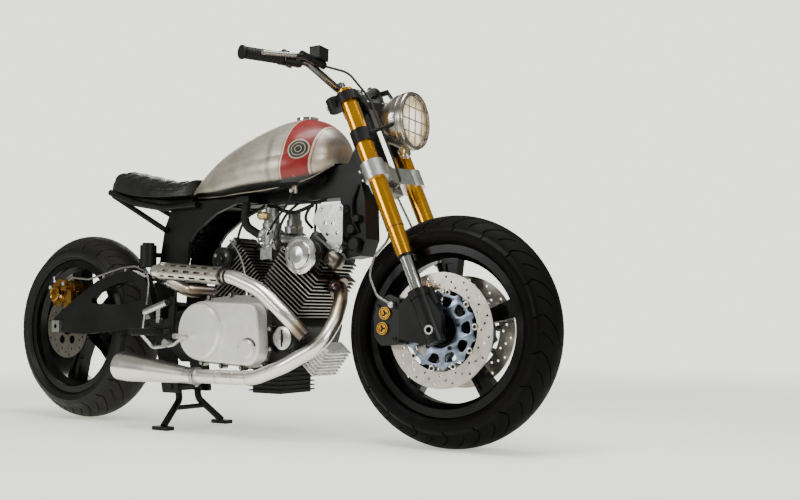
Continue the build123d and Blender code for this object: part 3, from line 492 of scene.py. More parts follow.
# Materials of the machine
def black_paint(name, colour, roughness):
    """Satin black with faint wear and dust."""
    paint = Paint(name, specular=0.22)
    place = paint.place()
    dust = paint.noise(place, 9.0, 6.0, 0.62)
    paint.set(colour=paint.ramp(dust, (0.35, colour), (0.78, scaled(colour, 1.8, 0.003))),
              roughness=paint.span(dust, 0.3, 0.8, roughness, roughness + 0.16),
              normal=paint.grain(place, 420.0, 0.0002, 0.35))
    return paint.material


def cast_metal(name, colour, roughness, dark=0.6, metallic=1.0):
    """Cast or machined light metal: clouded, with fine pits and soft stains."""
    paint = Paint(name, metallic=metallic)
    place = paint.place()
    cloud = paint.noise(place, 14.0, 7.0, 0.6, 0.6)
    stain = paint.times(cloud, paint.noise(place, 60.0, 5.0, 0.7))
    paint.set(colour=paint.ramp(stain, (0.12, scaled(colour, dark)), (0.34, colour)),
              roughness=paint.span(cloud, 0.3, 0.75, roughness + 0.12, roughness - 0.04),
              normal=paint.grain(place, 300.0))
    return paint.material


def chrome(name, colour=(0.72, 0.72, 0.73), roughness=0.07):
    paint = Paint(name, metallic=1.0)
    smear = paint.noise(paint.place(), 25.0, 5.0, 0.6)
    paint.set(colour=paint.ramp(smear, (0.3, scaled(colour, 0.85)), (0.7, colour)),
              roughness=paint.span(smear, 0.35, 0.75, roughness, roughness + 0.08))
    return paint.material


def finned_black(name, side):
    """Black engine paint whose fin edges are bare metal."""
    lean = Matrix.Translation(CRANK) @ Matrix.Rotation(side * V_HALF_ANGLE, 4, "Y")
    paint = Paint(name)
    place = paint.place()
    x, y, z = paint.split(paint.place(lean))
    upper = paint.span(z, FULL_FINS_END - 0.001, FULL_FINS_END)
    edges = []
    for coordinate, full, narrow in ((x, 0.085, 0.068),
                                     (paint.plus(y, side * CYLINDER_SHIFT), 0.092, 0.076)):
        half = paint.math("MULTIPLY_ADD", upper, narrow - full, full)
        over = paint.minus(paint.size(coordinate), half)
        edges.append(paint.times(paint.span(over, -0.0022, -0.0012), paint.fall(over, 0.0004, 0.001)))
    worn = paint.span(paint.noise(place, 70.0, 4.0, 0.6), 0.30, 0.42)
    bare = paint.times(paint.largest(*edges), worn)
    paint.set(colour=paint.blend(bare, (0.0030, 0.0028, 0.0027), (0.32, 0.30, 0.275)), metallic=bare,
              roughness=paint.span(bare, 0.0, 1.0, 0.40, 0.28), normal=paint.grain(place, 500.0))
    return paint.material


def gold_tube(name):
    """Gold anodising, drawn along the fork tubes."""
    paint = Paint(name, metallic=1.0, coat=0.3, coat_roughness=0.1)
    place = paint.place(STEERED)
    lines = paint.noise(paint.stretch(place, (70, 70, 1.5)), 1.0, 1.0, 0.5)
    cloud = paint.noise(place, 12.0, 5.0)
    paint.set(colour=paint.ramp(cloud, (0.3, (0.82, 0.34, 0.008)), (0.7, (0.97, 0.47, 0.018))),
              roughness=paint.span(lines, 0.3, 0.7, 0.19, 0.27))
    return paint.material


def disc_steel(name, hub, shade=1.0):
    """Ground steel: fine rings about the axle and a clouded colour, scaled by shade; a shade below one paints
    shade on a darker copy.
    """
    low, high = (scaled(colour, shade) for colour in ((0.42, 0.375, 0.325), (0.74, 0.675, 0.60)))
    paint = Paint(name, metallic=1.0)
    place = paint.place(hub)
    x, y, z = paint.split(place)
    ring = paint.node("CombineXYZ", {0: paint.times(paint.reach(x, z), 900.0)}).outputs[0]
    rings = paint.noise(ring, 1.0, 3.0)
    cloud = paint.noise(place, 30.0, 5.0)
    paint.set(colour=paint.ramp(paint.times(rings, cloud), (0.1, low), (0.4, high)),
              roughness=paint.span(rings, 0.3, 0.7, 0.24, 0.42), normal=paint.bump(rings, 0.0001, 0.4))
    return paint.material


def exhaust_steel(name, *hot_and_shaded_spots):
    """Brushed stainless tube, browned and blued near each hot spot, given by place and reach; a spot also
    paints shade, as on the rear pipe under the heat shield.
    """
    paint = Paint(name, metallic=1.0)
    place = paint.place()
    cloud = paint.noise(place, 9.0, 3.0, 0.5, 0.2)
    near = [paint.fall(paint.node("VectorMath", {0: place, 1: spot}, operation="DISTANCE").outputs["Value"],
                       0.02, reach) for spot, reach in hot_and_shaded_spots]
    # The share of darkening: heat colour near the hot spots, and painted shade at the spot under the heat
    # shield.
    heat = paint.plus(paint.largest(*near), paint.span(cloud, 0.3, 0.8, -0.08, 0.12))
    lines = paint.noise(paint.stretch(place, (12, 420, 420)), 1.0, 2.0)
    paint.set(colour=paint.ramp(heat, (0.0, (0.90, 0.87, 0.825)), (0.3, (0.72, 0.64, 0.53)),
                                (0.6, (0.40, 0.31, 0.22)), (0.85, (0.21, 0.155, 0.12)),
                                (1.0, (0.13, 0.11, 0.11))),
              roughness=paint.span(cloud, 0.3, 0.7, 0.24, 0.34), normal=paint.bump(lines, 0.00004, 0.25))
    return paint.material


def tank_band(paint, x, z):
    """Shares of the red band, of its cream edge with it, and of the fine line outside."""
    height = paint.minus(z, BAND_LEVEL)
    drift = paint.plus(paint.times(height, BAND_LEAN),
                       paint.times(paint.math("POWER", height, 2.0), BAND_CURVE))
    off = paint.size(paint.minus(paint.minus(x, BAND_X), drift))
    above = paint.span(z, BAND_FOOT - 0.0006, BAND_FOOT + 0.0006)
    red = paint.fall(off, BAND_HALF - 0.0005, BAND_HALF + 0.0005)
    cream = paint.fall(off, BAND_HALF + 0.0022, BAND_HALF + 0.0030)
    line = paint.times(paint.span(off, BAND_HALF + 0.0052, BAND_HALF + 0.0058),
                       paint.fall(off, BAND_HALF + 0.0074, BAND_HALF + 0.0080))
    return [paint.times(share, above) for share in (red, cream, line)]


def tank_badge(paint, x, y, z):
    """Share and colours of the badge on each side: plain rings on a dark disc."""
    reach = paint.reach(paint.minus(x, BADGE[0]), paint.minus(z, BADGE[1]))
    reach = paint.plus(reach, paint.fall(paint.size(y), 0.03, 0.05))
    rings = [paint.fall(paint.size(paint.minus(reach, middle * BADGE_R)), half * BADGE_R,
                        half * BADGE_R + 0.0004) for middle, half in BADGE_RINGS]
    colour = paint.blend(paint.largest(*rings), (0.020, 0.020, 0.016), (0.42, 0.37, 0.26))
    return paint.fall(reach, BADGE_R - 0.0003, BADGE_R + 0.0003), colour


def tank_metal(name):
    """Bare brushed steel with brown patina, a red band edged with fine lines, and a plain round badge;
    painted shade darkens the crease and blacks out the downward-facing underside.
    """
    paint = Paint(name, coat=0.22, coat_roughness=0.16)
    place = paint.place()
    x, y, z = paint.split(place)
    cloud = paint.noise(place, 7.0, 8.0, 0.62, 0.5)
    mottle = paint.noise(place, 34.0, 6.0, 0.65, 0.3)
    lines = paint.noise(paint.stretch(place, (30, 30, 420)), 1.0, 5.0, 0.65)
    colour = paint.ramp(paint.math("MULTIPLY_ADD", mottle, 0.35, paint.times(cloud, 0.75)),
                        (0.30, (0.27, 0.215, 0.16)), (0.48, (0.50, 0.435, 0.36)), (0.70, (0.72, 0.655, 0.57)))
    # Darker and browner towards the lower edge of the tank, below z = 0.80.
    colour = paint.blend(paint.times(paint.fall(z, 0.735, 0.80), 0.35), colour, (0.32, 0.24, 0.17))
    red, cream, line = tank_band(paint, x, z)
    badge, badge_colour = tank_badge(paint, x, y, z)
    worn = paint.span(paint.noise(place, 46.0, 8.0, 0.7), 0.66, 0.72)
    red_kept = paint.times(red, paint.minus(1.0, paint.times(worn, 0.5)))
    red_paint = paint.ramp(mottle, (0.3, (0.15, 0.0040, 0.0036)), (0.7, (0.28, 0.0075, 0.0070)))
    # Painted shade: a dark brown line in the crease at x = 0.214, strongest low down.
    crease_shade = paint.fall(paint.size(paint.minus(x, 0.214)), 0.002, 0.016)
    # Painted shade: faces of the tank that turn downward, below z = 0.83, are painted black.
    facing = paint.split(paint.node("TexCoord").outputs["Normal"])[2]
    for share, over in ((paint.times(cream, 0.9), (0.60, 0.50, 0.38)),
                        (paint.times(line, 0.9), (0.22, 0.030, 0.026)),
                        (red_kept, red_paint), (badge, badge_colour),
                        (paint.times(crease_shade, paint.span(z, 0.84, 0.93, 0.55, 0.0)), (0.13, 0.105, 0.08)),
                        (paint.times(paint.span(facing, -0.45, -0.62), paint.span(z, 0.85, 0.83)), BLACK)):
        colour = paint.blend(share, colour, over)
    bare = paint.minus(1.0, paint.largest(red, badge, cream, line))
    paint.set(colour=colour, metallic=paint.times(bare, 0.80),
              roughness=paint.span(lines, 0.25, 0.75, 0.32, 0.50), normal=paint.bump(lines, 0.0002, 0.35))
    return paint.material


def rubber(name, colour=(0.0025, 0.0025, 0.0025), roughness=0.5):
    paint = Paint(name, specular=0.25)
    place = paint.place()
    dust = paint.noise(place, 18.0, 7.0, 0.65)
    paint.set(colour=paint.ramp(dust, (0.35, colour), (0.8, scaled(colour, 1, 0.007))),
              roughness=paint.span(dust, 0.3, 0.8, roughness, roughness + 0.15),
              normal=paint.grain(place, 700.0))
    return paint.material


def tyre_rubber(name, hub, radius, dust_and_light):
    """Brown-black rubber with some dust, a scuffed crown and a smoother wall; the last argument pales the
    crown and raises its specular, partly for dust and partly as painted light from above.
    """
    paint = Paint(name, specular=0.05 + 0.20 * dust_and_light)
    place = paint.place(hub)
    x, y, z = paint.split(place)
    dust = paint.noise(place, 22.0, 7.0, 0.65)
    tread = paint.span(paint.reach(x, z), radius - 0.05, radius - 0.03)
    base = paint.blend(tread, (0.0024, 0.0021, 0.0020), scaled((0.0080, 0.0066, 0.0058), dust_and_light, 0.0018))
    pale = paint.times(paint.span(dust, 0.45, 0.85), 0.15 + 0.35 * dust_and_light)
    paint.set(colour=paint.blend(pale, base, (0.011, 0.0095, 0.0085)),
              roughness=paint.span(paint.math("MULTIPLY_ADD", tread, 0.25, dust), 0.3, 1.0, 0.40, 0.72),
              normal=paint.grain(place, 600.0, 0.0003, 0.35))
    return paint.material


def leather(name):
    """Black grained upholstery."""
    paint = Paint(name, specular=0.45)
    place = paint.place()
    wear = paint.noise(place, 12.0, 6.0, 0.6)
    paint.set(colour=paint.ramp(wear, (0.35, (0.0022, 0.0022, 0.0023)), (0.8, (0.0070, 0.0070, 0.0075))),
              roughness=paint.span(wear, 0.3, 0.8, 0.36, 0.50),
              normal=paint.bump(paint.cells(place, 520.0), 0.0004, 0.5))
    return paint.material


def lens_glow(name):
    """Lit, fluted glass: cream, brightest round the middle."""
    paint = Paint(name, roughness=0.12, coat=1.0, coat_roughness=0.03, emission_strength=1.25)
    place = paint.place(LAMP)
    x, y, z = paint.split(place)
    spread = paint.noise(place, 26.0, 5.0, 0.6, 0.8)
    shade = paint.plus(paint.times(spread, 0.5), paint.span(paint.reach(y, z), 0.012, 0.070, 0.45, 0.05))
    colour = paint.ramp(shade, (0.22, (0.30, 0.20, 0.11)), (0.42, (0.72, 0.56, 0.36)),
                        (0.60, (0.96, 0.88, 0.70)))
    paint.set(colour=colour, emission=colour)
    return paint.material


def braid(name):
    """A woven steel sleeve, black above the lower clamp."""
    paint = Paint(name)
    weave = paint.cells(paint.place(), 700.0)
    x, y, z = paint.split(paint.place(STEERED))
    hose = paint.times(paint.span(z, 0.442, 0.446), paint.span(x, -0.3, -0.29))
    woven = paint.ramp(weave, (0.1, (0.55, 0.54, 0.51)), (0.6, (0.16, 0.15, 0.14)))
    paint.set(colour=paint.blend(hose, woven, BLACK), metallic=paint.fall(hose, 0.0, 1.0),
              roughness=paint.span(weave, 0.0, 0.7, 0.25, 0.5), normal=paint.bump(weave, 0.0005, 0.6))
    return paint.material


def masked(name, mask, base, over, metallic=(0.0, 1.0), roughness=(0.4, 0.3), matrix=None):
    """Two finishes on one part, told apart by place; mask makes the second's share from x, y and z."""
    paint = Paint(name, specular=0.35)
    share = mask(paint, *paint.split(paint.place(matrix)))
    place = paint.place()
    cloud = paint.noise(place, 16.0, 7.0, 0.6, 0.5)
    paint.set(colour=paint.blend(paint.span(cloud, 0.35, 0.75, 0.0, 0.35), paint.blend(share, base, over),
                                 scaled(over, 0.55), "MULTIPLY"),
              metallic=paint.span(share, 0.0, 1.0, *metallic),
              roughness=paint.plus(paint.span(share, 0.0, 1.0, *roughness),
                                   paint.span(cloud, 0.3, 0.8, -0.03, 0.08)),
              normal=paint.grain(place, 350.0))
    return paint.material


def case_paint(name):
    """Black crankcase with the right cover's bare flange."""
    return masked(name, lambda paint, x, y, z: paint.times(paint.fall(y, -0.1092, -0.1086),
                                                           paint.fall(x, 0.222, 0.224)),
                  BLACK, (0.50, 0.49, 0.46))


def right_cover_metal(name):
    """Pale cast cover with the dark line of its gasket."""
    return masked(name, lambda paint, x, y, z: paint.fall(y, -0.1290, -0.1284), (0.02, 0.02, 0.02),
                  (0.88, 0.865, 0.84), (0.2, 0.55), (0.5, 0.36))


def caliper_paint(name):
    """Black calipers with gold caps on their outer faces."""
    return masked(name, lambda paint, x, y, z: paint.span(paint.size(y), 0.1120, 0.1122), BLACK, GOLD,
                  roughness=(0.36, 0.26), matrix=STEERED)


def lever_paint(name):
    """Black perches with bare blades."""
    return masked(name, lambda paint, x, y, z: paint.span(paint.size(y), 0.259, 0.262), BLACK, SILVER,
                  roughness=(0.36, 0.25), matrix=STEERED)


def gold_part(name):
    """Gold castings with dull brown patches."""
    return masked(name, lambda paint, x, y, z: paint.span(paint.noise(paint.place(), 55.0), 0.36, 0.62),
                  (0.13, 0.055, 0.010), (0.56, 0.30, 0.055), (1.0, 1.0), (0.42, 0.26))


def shield_steel(name):
    """Bare slotted steel with a sooty front end."""
    return masked(name, lambda paint, x, y, z: paint.fall(x, 0.078, 0.096), (0.03, 0.025, 0.022),
                  (0.66, 0.62, 0.55), (0.6, 1.0), (0.45, 0.28))


def dress_frame():
    """A material for every CAD node; those not named here are small black parts or are replaced."""
    black = black_paint("black_paint", (0.0018, 0.0018, 0.0019), 0.32)
    wheel = black_paint("wheel_paint", (0.0014, 0.0014, 0.0015), 0.16)
    part = black_paint("black_part", (0.0020, 0.0020, 0.0021), 0.34)
    cover = cast_metal("cover_metal", (0.90, 0.885, 0.86), 0.34, metallic=0.8)
    clamp = cast_metal("clamp_metal", (0.70, 0.70, 0.69), 0.28)
    lamp = cast_metal("lamp_metal", (0.42, 0.39, 0.35), 0.26, dark=0.5)
    steel = cast_metal("zinc_steel", (0.62, 0.62, 0.60), 0.25)
    bright = chrome("bright_chrome")
    finishes = {
        "main_frame": black, "rear_subframe": black, "swingarm": black, "rear_rim": wheel, "front_rim": wheel,
        "swingarm_pivot": steel, "rear_axle": steel, "front_axle": steel, "foot_levers": steel,
        "engine_bracket": clamp, "lower_clamp": clamp, "fuel_cap": bright, "fork_legs": bright,
        "headlight_shell": lamp, "headlight_guard": lamp, "left_engine_cover": cover,
        "oil_filter_housing": cover, "right_engine_cover": right_cover_metal("right_cover_metal"),
        "crankcase": case_paint("crankcase_paint"),
        "oil_sump": black_paint("engine_paint", (0.0030, 0.0028, 0.0027), 0.38),
        "carburettors": cast_metal("carburettor_metal", (0.40, 0.40, 0.39), 0.34, dark=0.4),
        "intake_hoses": rubber("hose_rubber"),
        "cylinder_head_caps": chrome("polished_caps", (0.88, 0.87, 0.85), 0.17),
        "front_exhaust_pipe": exhaust_steel("front_pipe_steel", ((0.345, -0.012, 0.455), 0.20)),
        # The rear pipe's last spot, under the heat shield, is partly heat colour and partly painted shade
        # seen through the slots.
        "rear_exhaust_pipe": exhaust_steel("rear_pipe_steel", ((-0.09, -0.012, 0.45), 0.22),
                                           ((0.375, -0.15, 0.30), 0.08), ((-0.04, -0.20, 0.487), 0.17)),
        "muffler": exhaust_steel("muffler_steel", ((0.2, -0.17, 0.178), 0.06)),
        "fuel_tank": tank_metal("tank_metal"), "fork_tubes": gold_tube("gold_anodising"),
        "front_discs": disc_steel("front_disc_steel", STEERED),
        # Painted shade: the rear disc is the same steel darkened to 0.30.
        "rear_disc": disc_steel("rear_disc_painted_shade_steel", REAR_HUB, 0.30),
        "front_calipers": caliper_paint("caliper_paint"), "rear_caliper": gold_part("rear_caliper_gold"),
        "handlebar": cast_metal("bar_metal", (0.16, 0.155, 0.15), 0.25),
        "hand_levers": lever_paint("lever_paint"),
        "rear_brake_line": braid("rear_line_braid"), "front_brake_lines": braid("front_line_braid"),
    }
    for name, side in (("front", 1), ("rear", -1)):
        finishes[name + "_cylinder"] = finned_black(name + "_cylinder_paint", side)
        finishes[name + "_cylinder_head"] = finned_black(name + "_head_paint", side)
    for node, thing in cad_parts.items():
        material = finishes.get(node, part)
        if not thing.data.materials:
            thing.data.materials.append(material)
        for index in range(len(thing.data.materials)):
            thing.data.materials[index] = material


# Tyres
TREAD_DEPTH = 0.0038
GROOVE_HALF = 0.0021
GROOVE_WALL = 0.0012
WALL_RINGS = {4: 0.0006, 5: 0.0016, 6: 0.0006, 14: 0.0005, 15: 0.0010, 16: 0.0005, 24: 0.0008}


def tyre_profile(radius, width, rim_width):
    """Rows of radius, half-width place and distance from the crown, and the shoulder's distance."""
    half = width / 2
    shoulder = (radius - 0.040, 0.8 * half)
    wall = (radius - 0.066, 0.99 * half)
    lip = (RIM_FLANGE_R + 0.003, rim_width / 2 + 0.002)
    crown = arc_points(shoulder, (radius, 0), (shoulder[0], -shoulder[1]), 49)
    side = [(r, y + WALL_RINGS.get(k, 0.0))
            for k, (r, y) in enumerate(arc_points(lip, wall, shoulder, 33)[:-1])]
    rows = side + crown + [(r, -y) for r, y in reversed(side)]
    reach = [0.0]
    for first, second in zip(rows, rows[1:]):
        reach.append(reach[-1] + math.dist(first, second))
    middle = reach[-1] / 2
    return [(r, y, middle - t) for (r, y), t in zip(rows, reach)], abs(reach[len(side)] - middle)


def make_tyre(end, hub, sizes, pitches, dust_and_light):
    """A tyre with long curved grooves from each shoulder to the crown and a short one between each pair."""
    radius, width, rim_width = sizes
    rows, shoulder = tyre_profile(*sizes)
    pitch = math.tau * radius / pitches
    columns = [(start + offset, long_right, full) for start, long_right in ((0.0, True), (pitch / 2, False))
               for offset, full in ((-GROOVE_HALF - GROOVE_WALL, 0), (-GROOVE_HALF, 1), (GROOVE_HALF, 1),
                                    (GROOVE_HALF + GROOVE_WALL, 0), (pitch / 4, 0))]
    skin = []
    for r, y, t in rows:
        share = abs(t) / shoulder
        lean = 0.105 * max(0.0, 1 - share) ** 1.7 + 0.012 * step(share, 0.82, 1.1)
        long_cut = step(share, 0.10, 0.17) * (1 - step(share, 1.08, 1.26))
        short_cut = 0.8 * step(share, 0.40, 0.48) * (1 - step(share, 0.84, 0.92))
        inward = min(1.0, abs(y) / (0.5 * width))
        row = []
        for k in range(pitches):
            for offset, long_right, full in columns:
                depth = TREAD_DEPTH * full * (long_cut if long_right == (t > 0) else short_cut)
                turn = (k * pitch + offset + lean) / radius
                row.append(hub @ Vector(((r - depth) * math.sin(turn),
                                         y - math.copysign(depth * inward, y) * 0.6,
                                         (r - depth) * math.cos(turn))))
        skin.append(row)
    bead, foot = rim_width / 2 - 0.0095, RIM_FLANGE_R - 0.012
    for r, y in ((RIM_FLANGE_R + 0.003, -bead), (foot, -bead), (foot, bead), (RIM_FLANGE_R + 0.003, bead)):
        skin.append([hub @ Vector((x, y, z)) for z, x in circle(r, len(skin[0]))])
    form = Form()
    form.grid(skin, loop=True)
    name = end + "_tyre_treaded"
    form.piece(name, end + "_wheel", "tyre_rubber", tyre_rubber(name + "_rubber", hub, radius, dust_and_light),
               replaces=(end + "_tyre",), sharp=28)


# Seat: rows of place along the machine, half width, underside and crown
SEAT_ROWS = (
    (-0.602, 0.042, 0.8000, 0.8120), (-0.598, 0.048, 0.7980, 0.8220), (-0.590, 0.054, 0.7965, 0.8330),
    (-0.574, 0.063, 0.7930, 0.8480), (-0.552, 0.074, 0.7870, 0.8590), (-0.520, 0.083, 0.7795, 0.8570),
    (-0.470, 0.094, 0.7685, 0.8440), (-0.410, 0.102, 0.7570, 0.8290), (-0.350, 0.107, 0.7495, 0.8150),
    (-0.290, 0.108, 0.7445, 0.8035), (-0.245, 0.105, 0.7435, 0.7975), (-0.212, 0.100, 0.7430, 0.7980),
    (-0.190, 0.094, 0.7430, 0.8030), (-0.181, 0.090, 0.7440, 0.8060))
SEAT_START, SEAT_END = SEAT_ROWS[0][0], SEAT_ROWS[-1][0]
SEAT_STATIONS = 92
SEAT_RIM = 0.50
SEAT_SWELL = 0.006
SWELL_FRAMES = 20
QUILT_PITCH = 0.064
QUILT_SLOPE = 1.05
QUILT_PUFF = 0.0050
# The tray under the seat: rows of place and underside, and of place and half width
PAN_FEET = ((-0.60, 0.785), (-0.57, 0.776), (-0.42, 0.731), (-0.30, 0.708), (-0.18, 0.708))
PAN_HALVES = ((-0.60, 0.040), (-0.57, 0.051), (-0.42, 0.080), (-0.34, 0.074), (-0.30, 0.060), (-0.18, 0.060))


def seat_row(x):
    """Half width, underside and crown at a place along the seat, on smooth curves through the rows."""
    last = len(SEAT_ROWS) - 1
    k = max(k for k in range(last) if k == 0 or SEAT_ROWS[k][0] <= x)
    rows = [SEAT_ROWS[min(max(k + shift, 0), last)] for shift in (-1, 0, 1, 2)]
    length = rows[2][0] - rows[1][0]
    t = min(1.0, max(0.0, (x - rows[1][0]) / length))
    values = []
    for a, b, c, d in list(zip(*rows))[1:]:
        first = (c - a) / (rows[2][0] - rows[0][0]) * length
        last = (d - b) / (rows[3][0] - rows[1][0]) * length
        values.append(b + first * t + (3 * (c - b) - 2 * first - last) * t ** 2
                      + (2 * (b - c) + first + last) * t ** 3)
    return values


def seat_section(x):
    """Points round the seat at one place: flat underside, upright band and crowned top."""
    half, low, top = seat_row(x)
    height = top - low
    rim = low + SEAT_RIM * height
    fillet = min(0.012, 0.35 * height)
    right = [(share * (half - fillet), low) for share in (0.0, 0.25, 0.5, 0.75, 1.0)]
    right += [(half - fillet + fillet * math.sin(turn), low + fillet - fillet * math.cos(turn))
              for turn in (math.pi / 8 * k for k in range(1, 5))]
    right += [(half, low + fillet + (rim - low - fillet) * share) for share in (0.25, 0.5, 0.75, 1.0)]
    right += [(half * math.cos(turn) ** 0.68, rim + (top - rim) * math.sin(turn) ** 0.80)
              for turn in (math.pi / 2 * k / 18 for k in range(1, 19))]
    left = [(-y, z) for y, z in reversed(right[1:-1])]
    return [Vector((x, y, z)) for y, z in right + left]


def seat_rim_gap(place):
    """Signed distance from the seam between band and top: positive on the top."""
    half, low, top = seat_row(place.x)
    above = place.z - (low + SEAT_RIM * (top - low))
    return math.copysign(math.hypot(above, max(0.0, half - abs(place.y)) if above > 0 else 0.0), above)


def swell(pad):
    """Pressure inside the seat's skin for a few frames, with its underside and ends held."""
    start = [vertex.co.copy() for vertex in pad.data.vertices]
    held = pad.vertex_groups.new(name="held")
    held.add([index for index, place in enumerate(start)
              if place.z < seat_row(place.x)[1] + 0.009
              or not SEAT_START + 0.008 <= place.x <= SEAT_END - 0.008],
             1.0, "REPLACE")
    cloth = pad.modifiers.new("cloth", "CLOTH")
    cloth.settings.use_pressure = True
    cloth.settings.uniform_pressure_force = 4.0
    cloth.settings.effector_weights.gravity = 0.0
    cloth.settings.vertex_group_mass = held.name
    cloth.settings.quality = 5
    cloth.point_cache.frame_start = 1
    cloth.point_cache.frame_end = SWELL_FRAMES
    for frame_number in range(1, SWELL_FRAMES + 1):
        bpy.context.scene.frame_set(frame_number)
    pad.data = applied(pad)
    bpy.context.scene.frame_set(1)
    for vertex, place in zip(pad.data.vertices, start):
        move = vertex.co - place
        if move.length > SEAT_SWELL:
            vertex.co = place + move.normalized() * SEAT_SWELL


def sewn(place, normal):
    """Where a point of the seat's skin lies once quilted in diamonds, seamed and piped."""
    gap = seat_rim_gap(place)
    ends = (step(place.x, SEAT_START + 0.010, SEAT_START + 0.030)
            * step(-place.x, -SEAT_END + 0.006, -SEAT_END + 0.020))
    across = QUILT_SLOPE * place.y
    pillow = abs(math.sin(math.pi * (place.x - across) / QUILT_PITCH)
                 * math.sin(math.pi * (place.x + across) / QUILT_PITCH)) ** 0.42
    top = step(gap, 0.002, 0.009) * ends
    seam = max(0.0, 1 - abs(gap) / 0.0035) * ends
    above_low = place.z - seat_row(place.x)[1]
    piping = max(0.0, 1 - ((above_low - 0.0065) / 0.0035) ** 2) * step(abs(normal.z), 0.85, 0.6)
    return place + normal * (top * (QUILT_PUFF * pillow - 0.0030) - 0.0024 * seam + 0.0022 * piping)


def make_seat():
    """The solo seat: a padded form swollen by pressure, then quilted inside a plain band."""
    form = Form()
    stations = (0.5 - 0.5 * math.cos(math.pi * k / (SEAT_STATIONS - 1)) for k in range(SEAT_STATIONS))
    form.grid([seat_section(SEAT_START + (SEAT_END - SEAT_START) * share) for share in stations])
    pad = show("quilted_seat", form.mesh("quilted_seat"))
    swell(pad)
    smooth = pad.modifiers.new("smooth", "SMOOTH")
    smooth.factor = 0.5
    smooth.iterations = 3
    pad.modifiers.new("finer", "SUBSURF").levels = 1
    pad.data = applied(pad)
    pad.vertex_groups.clear()
    for vertex, place in zip(pad.data.vertices, [sewn(v.co, v.normal) for v in pad.data.vertices]):
        vertex.co = place
    base_board = Paint("seat_base_board", colour=(0.002, 0.002, 0.002), roughness=0.8, specular=0.05)
    pad.data.materials.clear()
    pad.data.materials.append(leather("seat_leather"))
    pad.data.materials.append(base_board.material)
    under = [int(face.normal.z < -0.75) for face in pad.data.polygons]
    pad.data.polygons.foreach_set("material_index", under)
    pad.data.polygons.foreach_set("use_smooth", [True] * len(pad.data.polygons))
    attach(pad, "chassis")
    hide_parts("seat")


def make_seat_pan(material):
    """The tray under the seat, between the rails."""
    form = Form()
    rows = []
    for x in (-0.188 - 0.384 * k / 40 for k in range(41)):
        top = seat_row(x)[1] - 0.0008
        foot, half = read_rows(PAN_FEET, x), read_rows(PAN_HALVES, x)
        rows.append([Vector((x, y, z)) for y, z in (
            (-half, top), (half, top), (half, foot + 0.008), (half - 0.008, foot), (-half + 0.008, foot),
            (-half, foot + 0.008))])
    form.grid(rows)
    for x, z in ((-0.455, 0.748), (-0.400, 0.734)):
        for side in (-1, 1):
            socket_bolt(form, sideways(x, read_rows(PAN_HALVES, x) - 0.001, z, side), 0.0045)
    form.piece("seat_pan", "chassis", "black_part", material)


# Hand grips and lamp
def hand_line(side):
    """A grip's outer end and its direction, in the steering frame."""
    knee, outer = (Vector((place.x, side * place.y, place.z)) for place in (BAR_KNEE, BAR_END))
    return outer, (outer - knee).normalized()


def make_grips(material):
    """Ribbed rubber grips with an inner collar and a flange at the bar's end."""
    profile = [(0.0112, 0.0), (0.0192, 0.0), (0.0195, 0.006), (0.0172, 0.008)]
    for base in (0.012 + 0.0078 * k for k in range(13)):
        profile += [(0.0158, base), (0.0172, base + 0.0016), (0.0172, base + 0.0048), (0.0158, base + 0.0064)]
    profile += [(0.0166, 0.1165), (0.0192, 0.1185), (0.0200, 0.1225), (0.0192, 0.1268), (0.0150, 0.1280),
                (0.0112, 0.1275)]
    form = Form()
    for side in (-1, 1):
        outer, along = hand_line(side)
        form.lathe(STEERED @ toward(outer - along * 0.122, along), profile, 32)
    form.piece("ribbed_grips", "steering", "grip_rubber", material, replaces=("hand_grips",), sharp=50)


def make_lens(material):
    """A gently domed lens pressed with upright flutes."""
    rows = []
    for share in (ring / 24 for ring in range(25)):
        row = []
        for z, y in circle(max(0.0008, LENS_R * share), 128):
            flute = 0.0008 * abs(math.sin(math.pi * y / 0.0105)) * (1 - step(share, 0.90, 0.97))
            if abs(z) < 0.020:
                flute *= 0.5
            row.append(LAMP @ Vector((-0.0062 + 0.0052 * (1 - share * share) + flute, y, z)))
        rows.append(row)
    for x in (-0.0120, -0.0170):
        rows.append([LAMP @ Vector((x, y, z)) for z, y in circle(LENS_R, 128)])
    form = Form()
    form.grid(rows)
    form.piece("fluted_lens", "steering", "lamp_glass", material, replaces=("headlight_glass",), sharp=60)


# Chain
CHAIN_Y = 0.104
CHAIN_PITCH = 0.015875
OUTPUT_SHAFT = Vector((-0.165, 0, 0.345))
CHAIN_LINE_R = (0.1015, 0.0415)     # about the rear and the front sprocket


def chain_points():
    """Pin places, evenly spaced around the two sprockets."""
    rear, front = (Vector((place.x, place.z)) for place in (REAR_AXLE, OUTPUT_SHAFT))
    large, small = CHAIN_LINE_R
    gap = front - rear
    heading = math.atan2(gap.y, gap.x)
    wrap = math.acos((large - small) / gap.length)
    path = [rear + large * Vector((math.cos(turn), math.sin(turn)))
            for turn in (heading + wrap + (math.tau - 2 * wrap) * k / 200 for k in range(201))]
    path += [front + small * Vector((math.cos(turn), math.sin(turn)))
             for turn in (heading - wrap + 2 * wrap * k / 100 for k in range(101))]
    path.append(path[0])
    reach = [0.0]
    for first, second in zip(path, path[1:]):
        reach.append(reach[-1] + (second - first).length)
    count = 2 * round(reach[-1] / CHAIN_PITCH / 2)
    points, index = [], 0
    for goal in (reach[-1] * k / count for k in range(count)):
        while reach[index + 1] < goal:
            index += 1
        share = (goal - reach[index]) / (reach[index + 1] - reach[index])
        point = path[index].lerp(path[index + 1], share)
        points.append(Vector((point.x, CHAIN_Y, point.y)))
    return points


